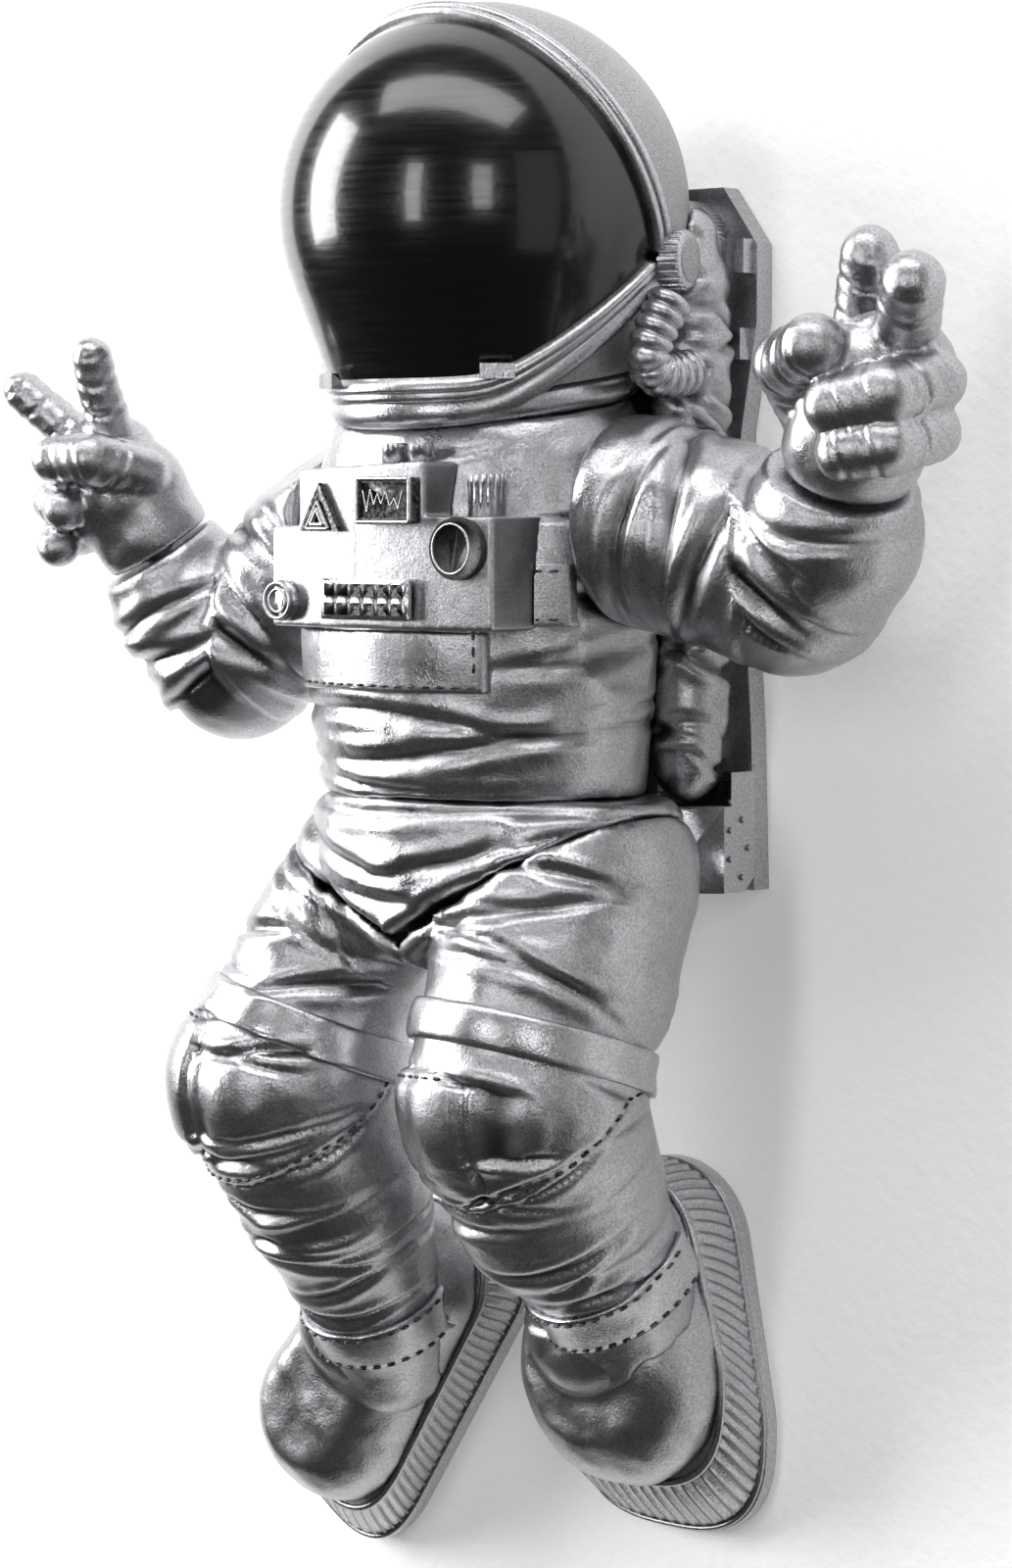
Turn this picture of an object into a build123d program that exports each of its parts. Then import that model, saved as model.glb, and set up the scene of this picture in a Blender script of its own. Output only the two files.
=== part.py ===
"""Wall-hung astronaut figure giving two V signs, cast as separate pieces that plug together.

Frame: +Z up, -Y is the figure's front, the wall is the plane Y = 0, and the origin is the centre of
the back plate's wall face. +X is the figure's left. Millimetres.
"""

import os
from math import cos, radians, sin, sqrt

from build123d import *

os.makedirs("parts", exist_ok=True)

# ---- fits ----
SWIVEL_GAP = 0.4  # between the two faces of a swivel
RUNNING = 0.05  # radial clearance of a peg that turns in its bore
SEAT_GAP = 0.25  # between pieces that only lie side by side
LINK = 0.985  # radius of a limb between two of its round points, as a share of theirs

# ---- helmet ----
HEAD = Vector(0, -44, 67.5)
HEAD_R = 42.5
SHELL_WALL = 3.5
FRAME_PROUD = 1.0
VISOR_SUNK = 0.6
FRAME_WIDTH = 5.0
VISOR_CORNER = (-36.7, 56.4)  # y, z of the line where the two edges of the visor opening meet
ARCH_LEAN = 27.5  # degrees that the upper edge leans forward from vertical
CHIN_SLOPE = 40.5  # degrees that the lower edge drops below level
SKIRT_TOP = -21.2  # degrees below the equator where the sphere runs out into the conical skirt
SKIRT_END = (27.5, -47.0)  # radius, height from the head's centre

# ---- neck ring ----
RING_TILT = 9
RING_CENTRE = Vector(0, -43, 30)
RING_R = 32.0
RING_BORE = 26.0
RING_HEIGHT = 6.0

# ---- torso: height, half width, half depth, y of the middle ----
TORSO = [
    (-52.0, 37.0, 29.0, -44.0),
    (-40.0, 38.5, 30.0, -44.5),
    (-20.0, 40.5, 30.5, -45.0),
    (0.0, 41.0, 30.0, -44.5),
    (15.0, 38.5, 28.5, -43.5),
    (26.0, 33.5, 27.0, -43.0),
    (40.0, 28.0, 25.0, -42.5),
]
TORSO_WALL = 4.0
BACK_Y = -16.0  # the castings are flat here, against the backpack
WAIST_Z = -52.0

# ---- arms: x, y, z, radius along each sleeve, from the shoulder to the wrist ----
SHOULDER = {"left": Vector(38.0, -41, 4), "right": Vector(-38.0, -41, 4)}
SLEEVE = {
    "left": [(40, -41, 4, 21.5), (57, -37, 0, 21), (73, -33, -7, 20), (84, -36, 1, 18.5), (90, -40, 13, 15.5)],
    "right": [(-40, -41, 4, 20.5), (-56, -43, -14, 20), (-70, -47, -25, 19), (-77, -54, -14, 17), (-81, -60, -3, 14)],
}
# palm blob and fingers of each glove, as runs of x, y, z, radius
GLOVE = {
    "left": {
        "palm": [(94, -41.5, 19, 14), (101, -42.5, 31, 15)],
        "thumb": [(86, -45, 26, 6.5), (87, -53, 34, 6.9), (98, -59.5, 37, 6.3)],
        "ring": [(116, -46, 30.5, 6.1), (112.5, -56, 28, 6.3), (102, -59, 26, 5.7)],
        "little": [(114.5, -45, 21, 5.9), (112, -55, 18.5, 6.1), (104, -58, 17, 5.5)],
        "index": [(99, -45.5, 38, 6.1), (104, -50, 54, 5.8)],
        "middle": [(108.5, -45.5, 36, 6.3), (116.8, -54, 48.5, 6.2)],
    },
    "right": {
        "palm": [(-82, -61, 1, 12.5), (-86, -64, 9, 13.5), (-90, -66, 16, 11.5)],
        "index": [(-86, -69, 22, 5.1), (-85.5, -75, 39, 4.4)],
        "middle": [(-94, -69, 20, 5.0), (-106.5, -76, 32, 4.4)],
        "ring": [(-97.5, -67, 11, 4.6), (-96.5, -76, 8, 4.9), (-90, -79, 6, 4.5)],
        "little": [(-97.5, -65, 1, 4.5), (-99, -72, 0, 4.7), (-94.5, -77, -2, 4.4)],
        "thumb": [(-77, -68, 14, 5.6), (-82, -78, 17, 5.8), (-92, -80, 17, 5.2)],
    },
}
SHOULDER_PEG_R = 4.0
WRIST_PEG_R = 3.0

# ---- lower body: x, y, z, radius at the hip, thigh, thigh band, knee, shin, ankle strap and foot ----
LEG = {
    "left": [
        (24, -43, -69, 26),
        (25, -50, -88, 25.5),
        (23.5, -56, -102, 23.5),
        (23.8, -57.5, -112, 24.7),
        (23.4, -47, -133, 22.5),
        (26, -32, -152, 16.5),
        (24, -24, -166, 15),
    ],
    "right": [
        (-24, -45, -70, 21.5),
        (-35, -50, -86, 20.5),
        (-39.6, -56, -103.5, 21.5),
        (-41.6, -59, -115, 24.7),
        (-38.8, -49, -138, 21.5),
        (-41, -32, -168, 14.5),
        (-47, -24, -180, 14),
    ],
}
PELVIS = [
    (-52.0 - SEAT_GAP, 37.0, 29.0, -44.0),
    (-63.0, 38.5, 29.5, -44.5),
    (-74.0, 32.0, 27.0, -45.0),
    (-88.0, 10.0, 16.0, -46.0),
]
CROTCH = (-2.5, -81.5)  # x, z where the two hip seams meet
HIP_SEAM_SLOPE = {"left": 29, "right": 24}  # degrees that each hip seam rises from the crotch
BAND_PROUD = 2.0
BAND_WIDTH = 8.0
STRAP_PROUD = 2.2
STRAP_WIDTH = 11.0

# ---- boots: x, z and radius of the round ends of each sole ----
TOE = {"left": (18.5, -187.5, 26.0), "right": (-73.5, -207.0, 21.5)}
HEEL = {"left": (18.5, -150.5, 19.0), "right": (-41.0, -162.0, 18.5)}
TOE_SLOPE = 12.0  # how far the rand's front edge sits back from the toe of the sole
SOLE_THICK = 5.0
RAND_THICK = 13.0
UPPER_THICK = 16.0

# ---- backpack ----
PLATE_HALF_W = 41.0
PLATE_HALF_H = 73.0
PLATE_THICK = 5.0
DUCT_X = 33.0
KEYHOLE_X = 22.0
KEYHOLE_Z = 44.0
HEAD_HOLE_R = 4.5
SLOT_R = 2.2
HANGER_THICK = 1.2
POCKET = (14.0, 24.0)  # width and height of the pocket behind each keyhole

# ---- chest box ----
BOX_BOTTOM = -17.5
BOX_SHOULDER = 5.0
BOX_TOP = 16.0
BOX_SIDES = (-27.5, 32.5)  # x range of the wide lower part
BOX_UPPER = (-18.5, 16.5)  # x range of the taller middle
BOX_FRONT_R = 165.0  # the front is gently bowed
BOX_FRONT_Y = -80.5


def save(builder, name):
    """Labels a finished piece and writes it as its node's STEP file."""
    builder.part.label = name
    export_step(builder.part, f"parts/{name}.step")
    print(f"{name:22s} {builder.part.volume / 1000:8.2f} cm3")


def ball_run(points):
    """Adds spheres along the points to the current part, joined by slightly slimmer cones."""
    for x, y, z, radius in points:
        with Locations((x, y, z)):
            Sphere(radius)
    for (x0, y0, z0, r0), (x1, y1, z1, r1) in zip(points, points[1:]):
        start, end = Vector(x0, y0, z0), Vector(x1, y1, z1)
        length = (end - start).length
        with Locations(Plane(origin=start, z_dir=end - start)):
            if abs(r0 - r1) < 0.01:
                Cylinder(LINK * r0, length, align=(Align.CENTER, Align.CENTER, Align.MIN))
            else:
                Cone(LINK * r0, LINK * r1, length, align=(Align.CENTER, Align.CENTER, Align.MIN))


def ellipse_stack(sections, shrink=0.0):
    """A lofted part through level ellipses, each inset by shrink."""
    with BuildPart() as stack:
        for z, half_width, half_depth, middle_y in sections:
            with BuildSketch(Plane((0, middle_y, z))):
                Ellipse(half_width - shrink, half_depth - shrink)
        loft()
    return stack.part


def helmet_body(radius):
    """The helmet's solid shape at a given radius: a sphere that runs out into a conical skirt."""
    grown = radius - HEAD_R
    turn = radians(SKIRT_TOP)
    tangent = (radius * cos(turn), radius * sin(turn))
    halfway = radians((90 + SKIRT_TOP) / 2)
    with BuildPart() as body:
        with BuildSketch(Plane(HEAD, x_dir=(1, 0, 0), z_dir=(0, -1, 0))):
            with BuildLine():
                ThreePointArc((0, radius), (radius * cos(halfway), radius * sin(halfway)), tangent)
                Line(tangent, (SKIRT_END[0] + grown, SKIRT_END[1]))
                Line((SKIRT_END[0] + grown, SKIRT_END[1]), (0, SKIRT_END[1]))
                Line((0, SKIRT_END[1]), (0, radius))
            make_face()
        revolve(axis=Axis(HEAD, (0, 0, 1)))
    return body.part


def visor_wedge(grow):
    """The space in front of both edges of the visor opening, grown outwards by grow."""
    reach = 130
    arch = Vector(-sin(radians(ARCH_LEAN)), cos(radians(ARCH_LEAN)))
    chin = Vector(-cos(radians(CHIN_SLOPE)), -sin(radians(CHIN_SLOPE)))
    bisector = (arch + chin).normalized()
    half_angle = radians(arch.get_angle(chin) / 2)
    corner = Vector(*VISOR_CORNER) - bisector * (grow / sin(half_angle))
    top = corner + arch * reach
    bottom = corner + chin * reach
    with BuildPart() as wedge:
        with BuildSketch(Plane.YZ):
            Polygon(
                (corner.X, corner.Y),
                (top.X, top.Y),
                (-2 * reach, top.Y),
                (-2 * reach, bottom.Y),
                (bottom.X, bottom.Y),
                align=None,
            )
        extrude(amount=70, both=True)
    return wedge.part


def slab(y_from, y_to, half_width=200, z_from=-300, z_to=300):
    """A plain block between two y planes, for trimming."""
    with BuildPart() as block:
        with BuildSketch(Plane.XZ.offset(-y_to)):
            with Locations((0, (z_from + z_to) / 2)):
                Rectangle(2 * half_width, z_to - z_from)
        extrude(amount=y_to - y_from)
    return block.part


ring_plane = Plane(RING_CENTRE, x_dir=(1, 0, 0), z_dir=(0, -sin(radians(RING_TILT)), cos(radians(RING_TILT))))
sides = {"left": 1, "right": -1}

# ---------------------------------------------------------------- helmet
pack_notch = slab(BACK_Y + 0.0, 20, z_to=PLATE_HALF_H + SEAT_GAP)

with BuildPart() as helmet_shell:
    add(helmet_body(HEAD_R))
    add(helmet_body(HEAD_R - SHELL_WALL), mode=Mode.SUBTRACT)
    add(visor_wedge(FRAME_WIDTH), mode=Mode.SUBTRACT)
    split(bisect_by=ring_plane.offset(RING_HEIGHT / 2), keep=Keep.TOP)
    add(pack_notch, mode=Mode.SUBTRACT)
save(helmet_shell, "helmet_shell")

with BuildPart() as visor_frame:
    add(helmet_body(HEAD_R + FRAME_PROUD))
    add(helmet_body(HEAD_R - SHELL_WALL), mode=Mode.SUBTRACT)
    add(visor_wedge(FRAME_WIDTH), mode=Mode.INTERSECT)
    add(visor_wedge(0), mode=Mode.SUBTRACT)
    split(bisect_by=ring_plane.offset(RING_HEIGHT / 2), keep=Keep.TOP)
save(visor_frame, "visor_frame")

with BuildPart() as visor:
    add(helmet_body(HEAD_R - VISOR_SUNK))
    add(helmet_body(HEAD_R - VISOR_SUNK - SHELL_WALL), mode=Mode.SUBTRACT)
    add(visor_wedge(0), mode=Mode.INTERSECT)
    split(bisect_by=ring_plane.offset(RING_HEIGHT / 2), keep=Keep.TOP)
save(visor, "visor")

LATCH = (7.0, 3.0)  # length along the frame, height
LATCH_Z = 30.5
LATCH_RISE = 4.5  # the chin edge climbs towards the ears
LATCH_TURNS = (-24, 47)  # degrees round the neck from the front
with BuildPart() as visor_latches:
    for turn in LATCH_TURNS:
        out = Vector(sin(radians(turn)), -cos(radians(turn)), 0)
        seat = Vector(0, HEAD.Y, 0) + out * 31.0
        seat.Z = LATCH_Z + LATCH_RISE * abs(sin(radians(turn)))
        with Locations(Plane(seat, x_dir=(cos(radians(turn)), sin(radians(turn)), 0), z_dir=out)):
            Box(LATCH[0], LATCH[1], 8)
    add(helmet_body(HEAD_R + FRAME_PROUD), mode=Mode.SUBTRACT)
    split(bisect_by=ring_plane.offset(RING_HEIGHT / 2 + SEAT_GAP), keep=Keep.TOP)
save(visor_latches, "visor_latches")

with BuildPart() as neck_ring:
    with Locations(ring_plane):
        Cylinder(RING_R, RING_HEIGHT)
    fillet(neck_ring.edges().filter_by(GeomType.CIRCLE), radius=2.6)
    with Locations(ring_plane):
        Cylinder(RING_BORE, RING_HEIGHT, mode=Mode.SUBTRACT)
    add(pack_notch, mode=Mode.SUBTRACT)
save(neck_ring, "neck_ring")

STUD_R = 8.0
STUD_LENGTH = 14.0
with BuildPart() as neck_stud:
    with Locations(ring_plane.offset(-RING_HEIGHT / 2 - STUD_LENGTH)):
        Cylinder(STUD_R, STUD_LENGTH + RING_HEIGHT, align=(Align.CENTER, Align.CENTER, Align.MIN))
    with Locations(ring_plane.offset(-RING_HEIGHT / 2)):
        Cylinder(RING_BORE - 0.1, 3.0, align=(Align.CENTER, Align.CENTER, Align.MIN))
    add(pack_notch, mode=Mode.SUBTRACT)
save(neck_stud, "neck_stud")

CAP_R = 6.1
CAP_REACH = 46.3  # from the head's axis to the cap's outer face
CAP_BACK_TURN = 16.5  # degrees that each cap faces backwards
CAP_Z = 56.5
CAP_KNURLS = 22
for side, sign in sides.items():
    out = Vector(sign * cos(radians(CAP_BACK_TURN)), sin(radians(CAP_BACK_TURN)), 0)
    seat = Plane(Vector(0, HEAD.Y, CAP_Z) + out * 36, x_dir=(0, 0, 1), z_dir=out)
    with BuildPart() as ear_cap:
        with Locations(seat):
            Cylinder(CAP_R, CAP_REACH - 36, align=(Align.CENTER, Align.CENTER, Align.MIN))
        chamfer(ear_cap.faces().sort_by(Axis(seat.origin, out))[-1].edges(), length=0.8)
        with Locations(seat):
            with PolarLocations(CAP_R, CAP_KNURLS):
                Cylinder(0.5, 14, align=(Align.CENTER, Align.CENTER, Align.MIN), mode=Mode.SUBTRACT)
        add(helmet_body(HEAD_R + FRAME_PROUD), mode=Mode.SUBTRACT)
    save(ear_cap, f"{side}_ear_cap")

HOSE_R = 4.2
HOSE = [(43.5, -36.0, 45.8), (42, -39.5, 42), (40.5, -40, 35), (40, -33, 32.5), (39.5, -25, 34.5)]
hoses = {}
for side, sign in sides.items():
    with BuildPart() as hose:
        ball_run([(sign * x, y, z, HOSE_R) for x, y, z in HOSE])
    hoses[side] = hose.part
    save(hose, f"{side}_hose")

# ---------------------------------------------------------------- torso
torso_solid = ellipse_stack(TORSO)
torso_cavity = ellipse_stack([(z + (TORSO_WALL if z == WAIST_Z else 0), a, b, y) for z, a, b, y in TORSO[:-1]], TORSO_WALL)
SWEPT_R = 34.0  # the flat on the torso's side that the sleeve turns against
BOSS_R = 9.0
BOSS_DEPTH = 9.0
BORE_LENGTH = 9.0

with BuildPart() as torso:
    add(torso_solid)
    split(bisect_by=ring_plane.offset(-RING_HEIGHT / 2), keep=Keep.BOTTOM)
    add(slab(BACK_Y, 100), mode=Mode.SUBTRACT)
    for side, sign in sides.items():
        facet = Plane(SHOULDER[side], z_dir=(sign, 0, 0))
        with Locations(facet):
            Cylinder(SWEPT_R, 20, align=(Align.CENTER, Align.CENTER, Align.MIN), mode=Mode.SUBTRACT)
    with BuildPart(mode=Mode.PRIVATE) as cavity:
        add(torso_cavity)
        add(slab(BACK_Y - TORSO_WALL, 100), mode=Mode.SUBTRACT)
        split(bisect_by=Plane.XY.offset(14), keep=Keep.BOTTOM)
        for side, sign in sides.items():
            with Locations(Plane(SHOULDER[side], z_dir=(-sign, 0, 0))):
                Cylinder(SWEPT_R, TORSO_WALL, align=(Align.CENTER, Align.CENTER, Align.MIN), mode=Mode.SUBTRACT)
                Cylinder(BOSS_R, BOSS_DEPTH, align=(Align.CENTER, Align.CENTER, Align.MIN), mode=Mode.SUBTRACT)
    add(cavity.part, mode=Mode.SUBTRACT)
    for side, sign in sides.items():
        with Locations(Plane(SHOULDER[side], z_dir=(-sign, 0, 0))):
            Cylinder(
                SHOULDER_PEG_R + RUNNING,
                BORE_LENGTH,
                align=(Align.CENTER, Align.CENTER, Align.MIN),
                mode=Mode.SUBTRACT,
            )
    with Locations(ring_plane.offset(-RING_HEIGHT / 2 - STUD_LENGTH)):
        Cylinder(STUD_R + 0.1, 2 * STUD_LENGTH, align=(Align.CENTER, Align.CENTER, Align.MIN), mode=Mode.SUBTRACT)
save(torso, "torso")

# ---------------------------------------------------------------- chest box
torso_clear = ellipse_stack(TORSO, -SEAT_GAP)
box_bow = Vector(0, BOX_FRONT_Y + BOX_FRONT_R)  # plan position of the front face's centre of curvature


def box_front(x):
    """y of the chest box's front face at x."""
    return box_bow.Y - sqrt(BOX_FRONT_R**2 - x**2)


def front_plane(x, z):
    """A plane on the chest box's front face, its x to the figure's left and its z out of the face."""
    out = (Vector(x, box_front(x)) - box_bow).normalized()
    return Plane(Vector(x, box_front(x), z), x_dir=(-out.Y, out.X, 0), z_dir=(out.X, out.Y, 0))


GROOVE = (-0.8, 0.7, 0.5, -8.0)  # x, width, depth and lower end of the upright groove in the front
with BuildPart() as chest_box:
    with BuildSketch(Plane.XZ):
        Polygon(
            (BOX_SIDES[0], BOX_BOTTOM),
            (BOX_SIDES[1], BOX_BOTTOM),
            (BOX_SIDES[1], BOX_SHOULDER),
            (BOX_UPPER[1], BOX_SHOULDER),
            (BOX_UPPER[1], BOX_TOP),
            (BOX_UPPER[0], BOX_TOP - 1.5),
            (BOX_UPPER[0], BOX_SHOULDER - 2),
            (BOX_SIDES[0], BOX_SHOULDER - 2),
            align=None,
        )
    extrude(amount=100)
    with BuildSketch(Plane.XY.offset(BOX_BOTTOM)):
        with Locations((box_bow.X, box_bow.Y)):
            Circle(BOX_FRONT_R)
    extrude(amount=BOX_TOP - BOX_BOTTOM, mode=Mode.INTERSECT)
    with BuildSketch(Plane.XZ.offset(-BOX_FRONT_Y - GROOVE[2])):
        with Locations((GROOVE[0], (BOX_TOP + GROOVE[3]) / 2)):
            Rectangle(GROOVE[1], BOX_TOP - GROOVE[3])
    extrude(amount=10, mode=Mode.SUBTRACT)
    add(torso_clear, mode=Mode.SUBTRACT)
    add(slab(-60, 100), mode=Mode.SUBTRACT)
save(chest_box, "chest_box")

TRIANGLE = (-10.8, 5.2, 12.0, 11.5)  # x and z of the middle, base, sides
with BuildPart() as warning_triangle:
    with BuildSketch(front_plane(TRIANGLE[0], TRIANGLE[1]).offset(0.12)):
        Triangle(a=TRIANGLE[2], b=TRIANGLE[3], c=TRIANGLE[3])
        offset(amount=-2.2, mode=Mode.SUBTRACT)
    extrude(amount=1.2)
    with BuildSketch(front_plane(TRIANGLE[0], TRIANGLE[1]).offset(0.12)):
        Triangle(a=TRIANGLE[2], b=TRIANGLE[3], c=TRIANGLE[3])
    extrude(amount=0.6)
save(warning_triangle, "warning_triangle")

SCREEN = (8.2, 8.2, 15.0, 9.2)  # x and z of the middle, width, height
with BuildPart() as display_screen:
    with BuildSketch(front_plane(SCREEN[0], SCREEN[1]).offset(0.2)):
        RectangleRounded(SCREEN[2], SCREEN[3], 0.6)
    extrude(amount=1.6)
    with BuildSketch(front_plane(SCREEN[0], SCREEN[1]).offset(1.8)):
        Rectangle(SCREEN[2] - 2.4, SCREEN[3] - 2.2)
    extrude(amount=-0.8, mode=Mode.SUBTRACT)
save(display_screen, "display_screen")

KEYPAD = (2.3, -11.6, 24.0, 8.2)  # x and z of the middle, width, height
KEY = (2.6, 2.5)
KEY_PITCH = (3.7, 3.8)
with BuildPart() as keypad:
    with BuildSketch(front_plane(KEYPAD[0], KEYPAD[1]).offset(0.5)):
        RectangleRounded(KEYPAD[2], KEYPAD[3], 0.4)
    extrude(amount=0.9)
    with BuildSketch(front_plane(KEYPAD[0], KEYPAD[1]).offset(1.4)):
        with GridLocations(*KEY_PITCH, 6, 2):
            Rectangle(*KEY)
    extrude(amount=0.6)
save(keypad, "keypad")

DIAL = (25.3, -1.3, 6.2)  # x, z, radius
with BuildPart() as round_dial:
    with BuildSketch(front_plane(DIAL[0], DIAL[1]).offset(0.12)):
        Circle(DIAL[2])
    extrude(amount=1.6)
    with BuildSketch(front_plane(DIAL[0], DIAL[1]).offset(1.72)):
        Circle(DIAL[2] - 1.1)
    extrude(amount=-0.8, mode=Mode.SUBTRACT)
save(round_dial, "round_dial")

BUTTON = (-22.3, -12.2, 4.2)  # x, z, radius
with BuildPart() as push_button:
    with BuildSketch(front_plane(BUTTON[0], BUTTON[1]).offset(0.12)):
        Circle(BUTTON[2])
    extrude(amount=1.6)
    with BuildSketch(front_plane(BUTTON[0], BUTTON[1]).offset(1.72)):
        Circle(BUTTON[2] - 1.0)
    extrude(amount=1.0)
save(push_button, "push_button")

KNOB = (27.0, -72.5)  # x, y
KNOB_FLUTES = 16
with BuildPart() as valve_knob:
    with BuildSketch(Plane((KNOB[0], KNOB[1], BOX_SHOULDER))):
        Circle(3.7)
    extrude(amount=5.8)
    with BuildSketch(Plane((KNOB[0], KNOB[1], BOX_SHOULDER + 5.8))):
        Circle(3.9)
        with PolarLocations(3.9, KNOB_FLUTES):
            Circle(0.35, mode=Mode.SUBTRACT)
    extrude(amount=2.6)
save(valve_knob, "valve_knob")

with BuildPart() as top_knobs:
    for x in (5.8, 13.0):
        with BuildSketch(Plane((x, -76.5, BOX_TOP - 0.8))):
            Circle(2.6)
        extrude(amount=4.4)
    fillet(top_knobs.faces().filter_by(Axis.Z).group_by(Axis.Z)[-1].edges(), radius=0.5)
    add(chest_box.part, mode=Mode.SUBTRACT)
save(top_knobs, "top_knobs")

# ---------------------------------------------------------------- belt and flap on the torso
BELT_THICK = 1.6
with BuildPart() as chest_belt:
    add(ellipse_stack(TORSO, -BELT_THICK - SEAT_GAP))
    add(torso_clear, mode=Mode.SUBTRACT)
    add(slab(-120, BACK_Y, z_from=-17, z_to=-4), mode=Mode.INTERSECT)
    with BuildSketch(Plane.XZ):
        with Locations(((BOX_SIDES[0] + BOX_SIDES[1]) / 2, -10)):
            Rectangle(BOX_SIDES[1] - BOX_SIDES[0] + 0.2, 30)
    extrude(amount=120, mode=Mode.SUBTRACT)
    for side, sign in sides.items():
        with Locations(Plane(SHOULDER[side], z_dir=(sign, 0, 0))):
            Cylinder(SWEPT_R, 20, align=(Align.CENTER, Align.CENTER, Align.MIN), mode=Mode.SUBTRACT)
    add(slab(-50, 100), mode=Mode.SUBTRACT)
save(chest_belt, "chest_belt")

FLAP = (-26.5, 25.0, -30.5, -17.8)  # x from, x to, z from, z to
with BuildPart() as belly_flap:
    add(ellipse_stack(TORSO, -2.4 - SEAT_GAP))
    add(torso_clear, mode=Mode.SUBTRACT)
    with BuildSketch(Plane.XZ):
        with Locations(((FLAP[0] + FLAP[1]) / 2, (FLAP[2] + FLAP[3]) / 2)):
            Rectangle(FLAP[1] - FLAP[0], FLAP[3] - FLAP[2])
    extrude(amount=120, mode=Mode.INTERSECT)
    add(slab(-45, 100), mode=Mode.SUBTRACT)
save(belly_flap, "belly_flap")

# ---------------------------------------------------------------- boots
def boot_outline(side, inset, toe_back=0.0):
    """The boot's outline in the current sketch, drawn in by inset, its toe moved back towards the heel."""
    toe_x, toe_z, toe_r = TOE[side]
    heel_x, heel_z, heel_r = HEEL[side]
    toe, heel = Vector(toe_x, toe_z), Vector(heel_x, heel_z)
    toe += (heel - toe).normalized() * toe_back
    with Locations((toe.X, toe.Y)):
        Circle(toe_r - inset)
    with Locations((heel.X, heel.Y)):
        Circle(heel_r - inset)
    make_hull()


boot_upper = {}
boot_space = {}
for side in sides:
    with BuildPart() as sole:
        with BuildSketch(Plane.XZ):
            boot_outline(side, 0.0)
        extrude(amount=SOLE_THICK)
        fillet(sole.faces().sort_by(Axis.Y)[0].edges(), radius=1.2)
    save(sole, f"{side}_boot_sole")
    with BuildPart() as rand:
        with BuildSketch(Plane.XZ.offset(SOLE_THICK + 0.02)):
            boot_outline(side, 0.6, 1.0)
        with BuildSketch(Plane.XZ.offset(SOLE_THICK + RAND_THICK)):
            boot_outline(side, 1.2, TOE_SLOPE)
        loft()
    save(rand, f"{side}_boot_rand")
    with BuildPart() as upper:
        with BuildSketch(Plane.XZ.offset(SOLE_THICK + RAND_THICK + 0.02)):
            boot_outline(side, 1.6, TOE_SLOPE)
        with BuildSketch(Plane.XZ.offset(SOLE_THICK + RAND_THICK + 0.6 * UPPER_THICK)):
            boot_outline(side, 4.0, TOE_SLOPE + 1)
        with BuildSketch(Plane.XZ.offset(SOLE_THICK + RAND_THICK + UPPER_THICK)):
            boot_outline(side, 10.0, TOE_SLOPE + 3)
        loft()
        fillet(upper.faces().sort_by(Axis.Y)[0].edges(), radius=4)
    save(upper, f"{side}_boot_upper")
    with BuildPart() as space:
        with BuildSketch(Plane.XZ):
            boot_outline(side, -0.1)
        extrude(amount=SOLE_THICK + RAND_THICK + 0.1)
        add(upper.part)
    boot_space[side] = space.part

# ---------------------------------------------------------------- hips and legs
with BuildPart() as lower_body:
    add(ellipse_stack(PELVIS))
    for side in sides:
        ball_run(LEG[side])
    add(slab(BACK_Y, 100, z_from=-90), mode=Mode.SUBTRACT)
    split(bisect_by=Plane.XY.offset(WAIST_Z - SEAT_GAP), keep=Keep.BOTTOM)
    for space in boot_space.values():
        add(space, mode=Mode.SUBTRACT)


def hip_plane(side):
    """The plane of a hip seam, its z axis towards the leg."""
    rise = radians(HIP_SEAM_SLOPE[side])
    return Plane((CROTCH[0], 0, CROTCH[1]), x_dir=(0, 1, 0), z_dir=(sides[side] * sin(rise), 0, -cos(rise)))


with BuildPart() as hips:
    add(lower_body.part)
    for side in sides:
        split(bisect_by=hip_plane(side), keep=Keep.BOTTOM)
save(hips, "hips")

for side, sign in sides.items():
    with BuildPart() as leg:
        add(lower_body.part)
        split(bisect_by=hip_plane(side).offset(0.02), keep=Keep.TOP)
        split(bisect_by=Plane((CROTCH[0] + sign * 0.02, 0, 0), z_dir=(sign, 0, 0)), keep=Keep.TOP)
    save(leg, f"{side}_leg")

    thigh, band, knee = (Vector(*LEG[side][i][:3]) for i in (1, 2, 3))
    with BuildPart() as thigh_band:
        with Locations(Plane(band, z_dir=knee - thigh)):
            Cylinder(LEG[side][2][3] + BAND_PROUD, BAND_WIDTH)
        add(lower_body.part, mode=Mode.SUBTRACT)
        split(bisect_by=Plane((CROTCH[0] + sign * 0.1, 0, 0), z_dir=(sign, 0, 0)), keep=Keep.TOP)
    save(thigh_band, f"{side}_thigh_band")

    shin, ankle = (Vector(*LEG[side][i][:3]) for i in (4, 5))
    with BuildPart() as ankle_strap:
        with Locations(Plane(ankle, z_dir=ankle - shin)):
            Cylinder(LEG[side][5][3] + STRAP_PROUD, STRAP_WIDTH)
        add(lower_body.part, mode=Mode.SUBTRACT)
        for space in boot_space.values():
            add(space, mode=Mode.SUBTRACT)
        add(slab(-SOLE_THICK - RAND_THICK - 0.2, 100), mode=Mode.SUBTRACT)
    save(ankle_strap, f"{side}_ankle_strap")

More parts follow.
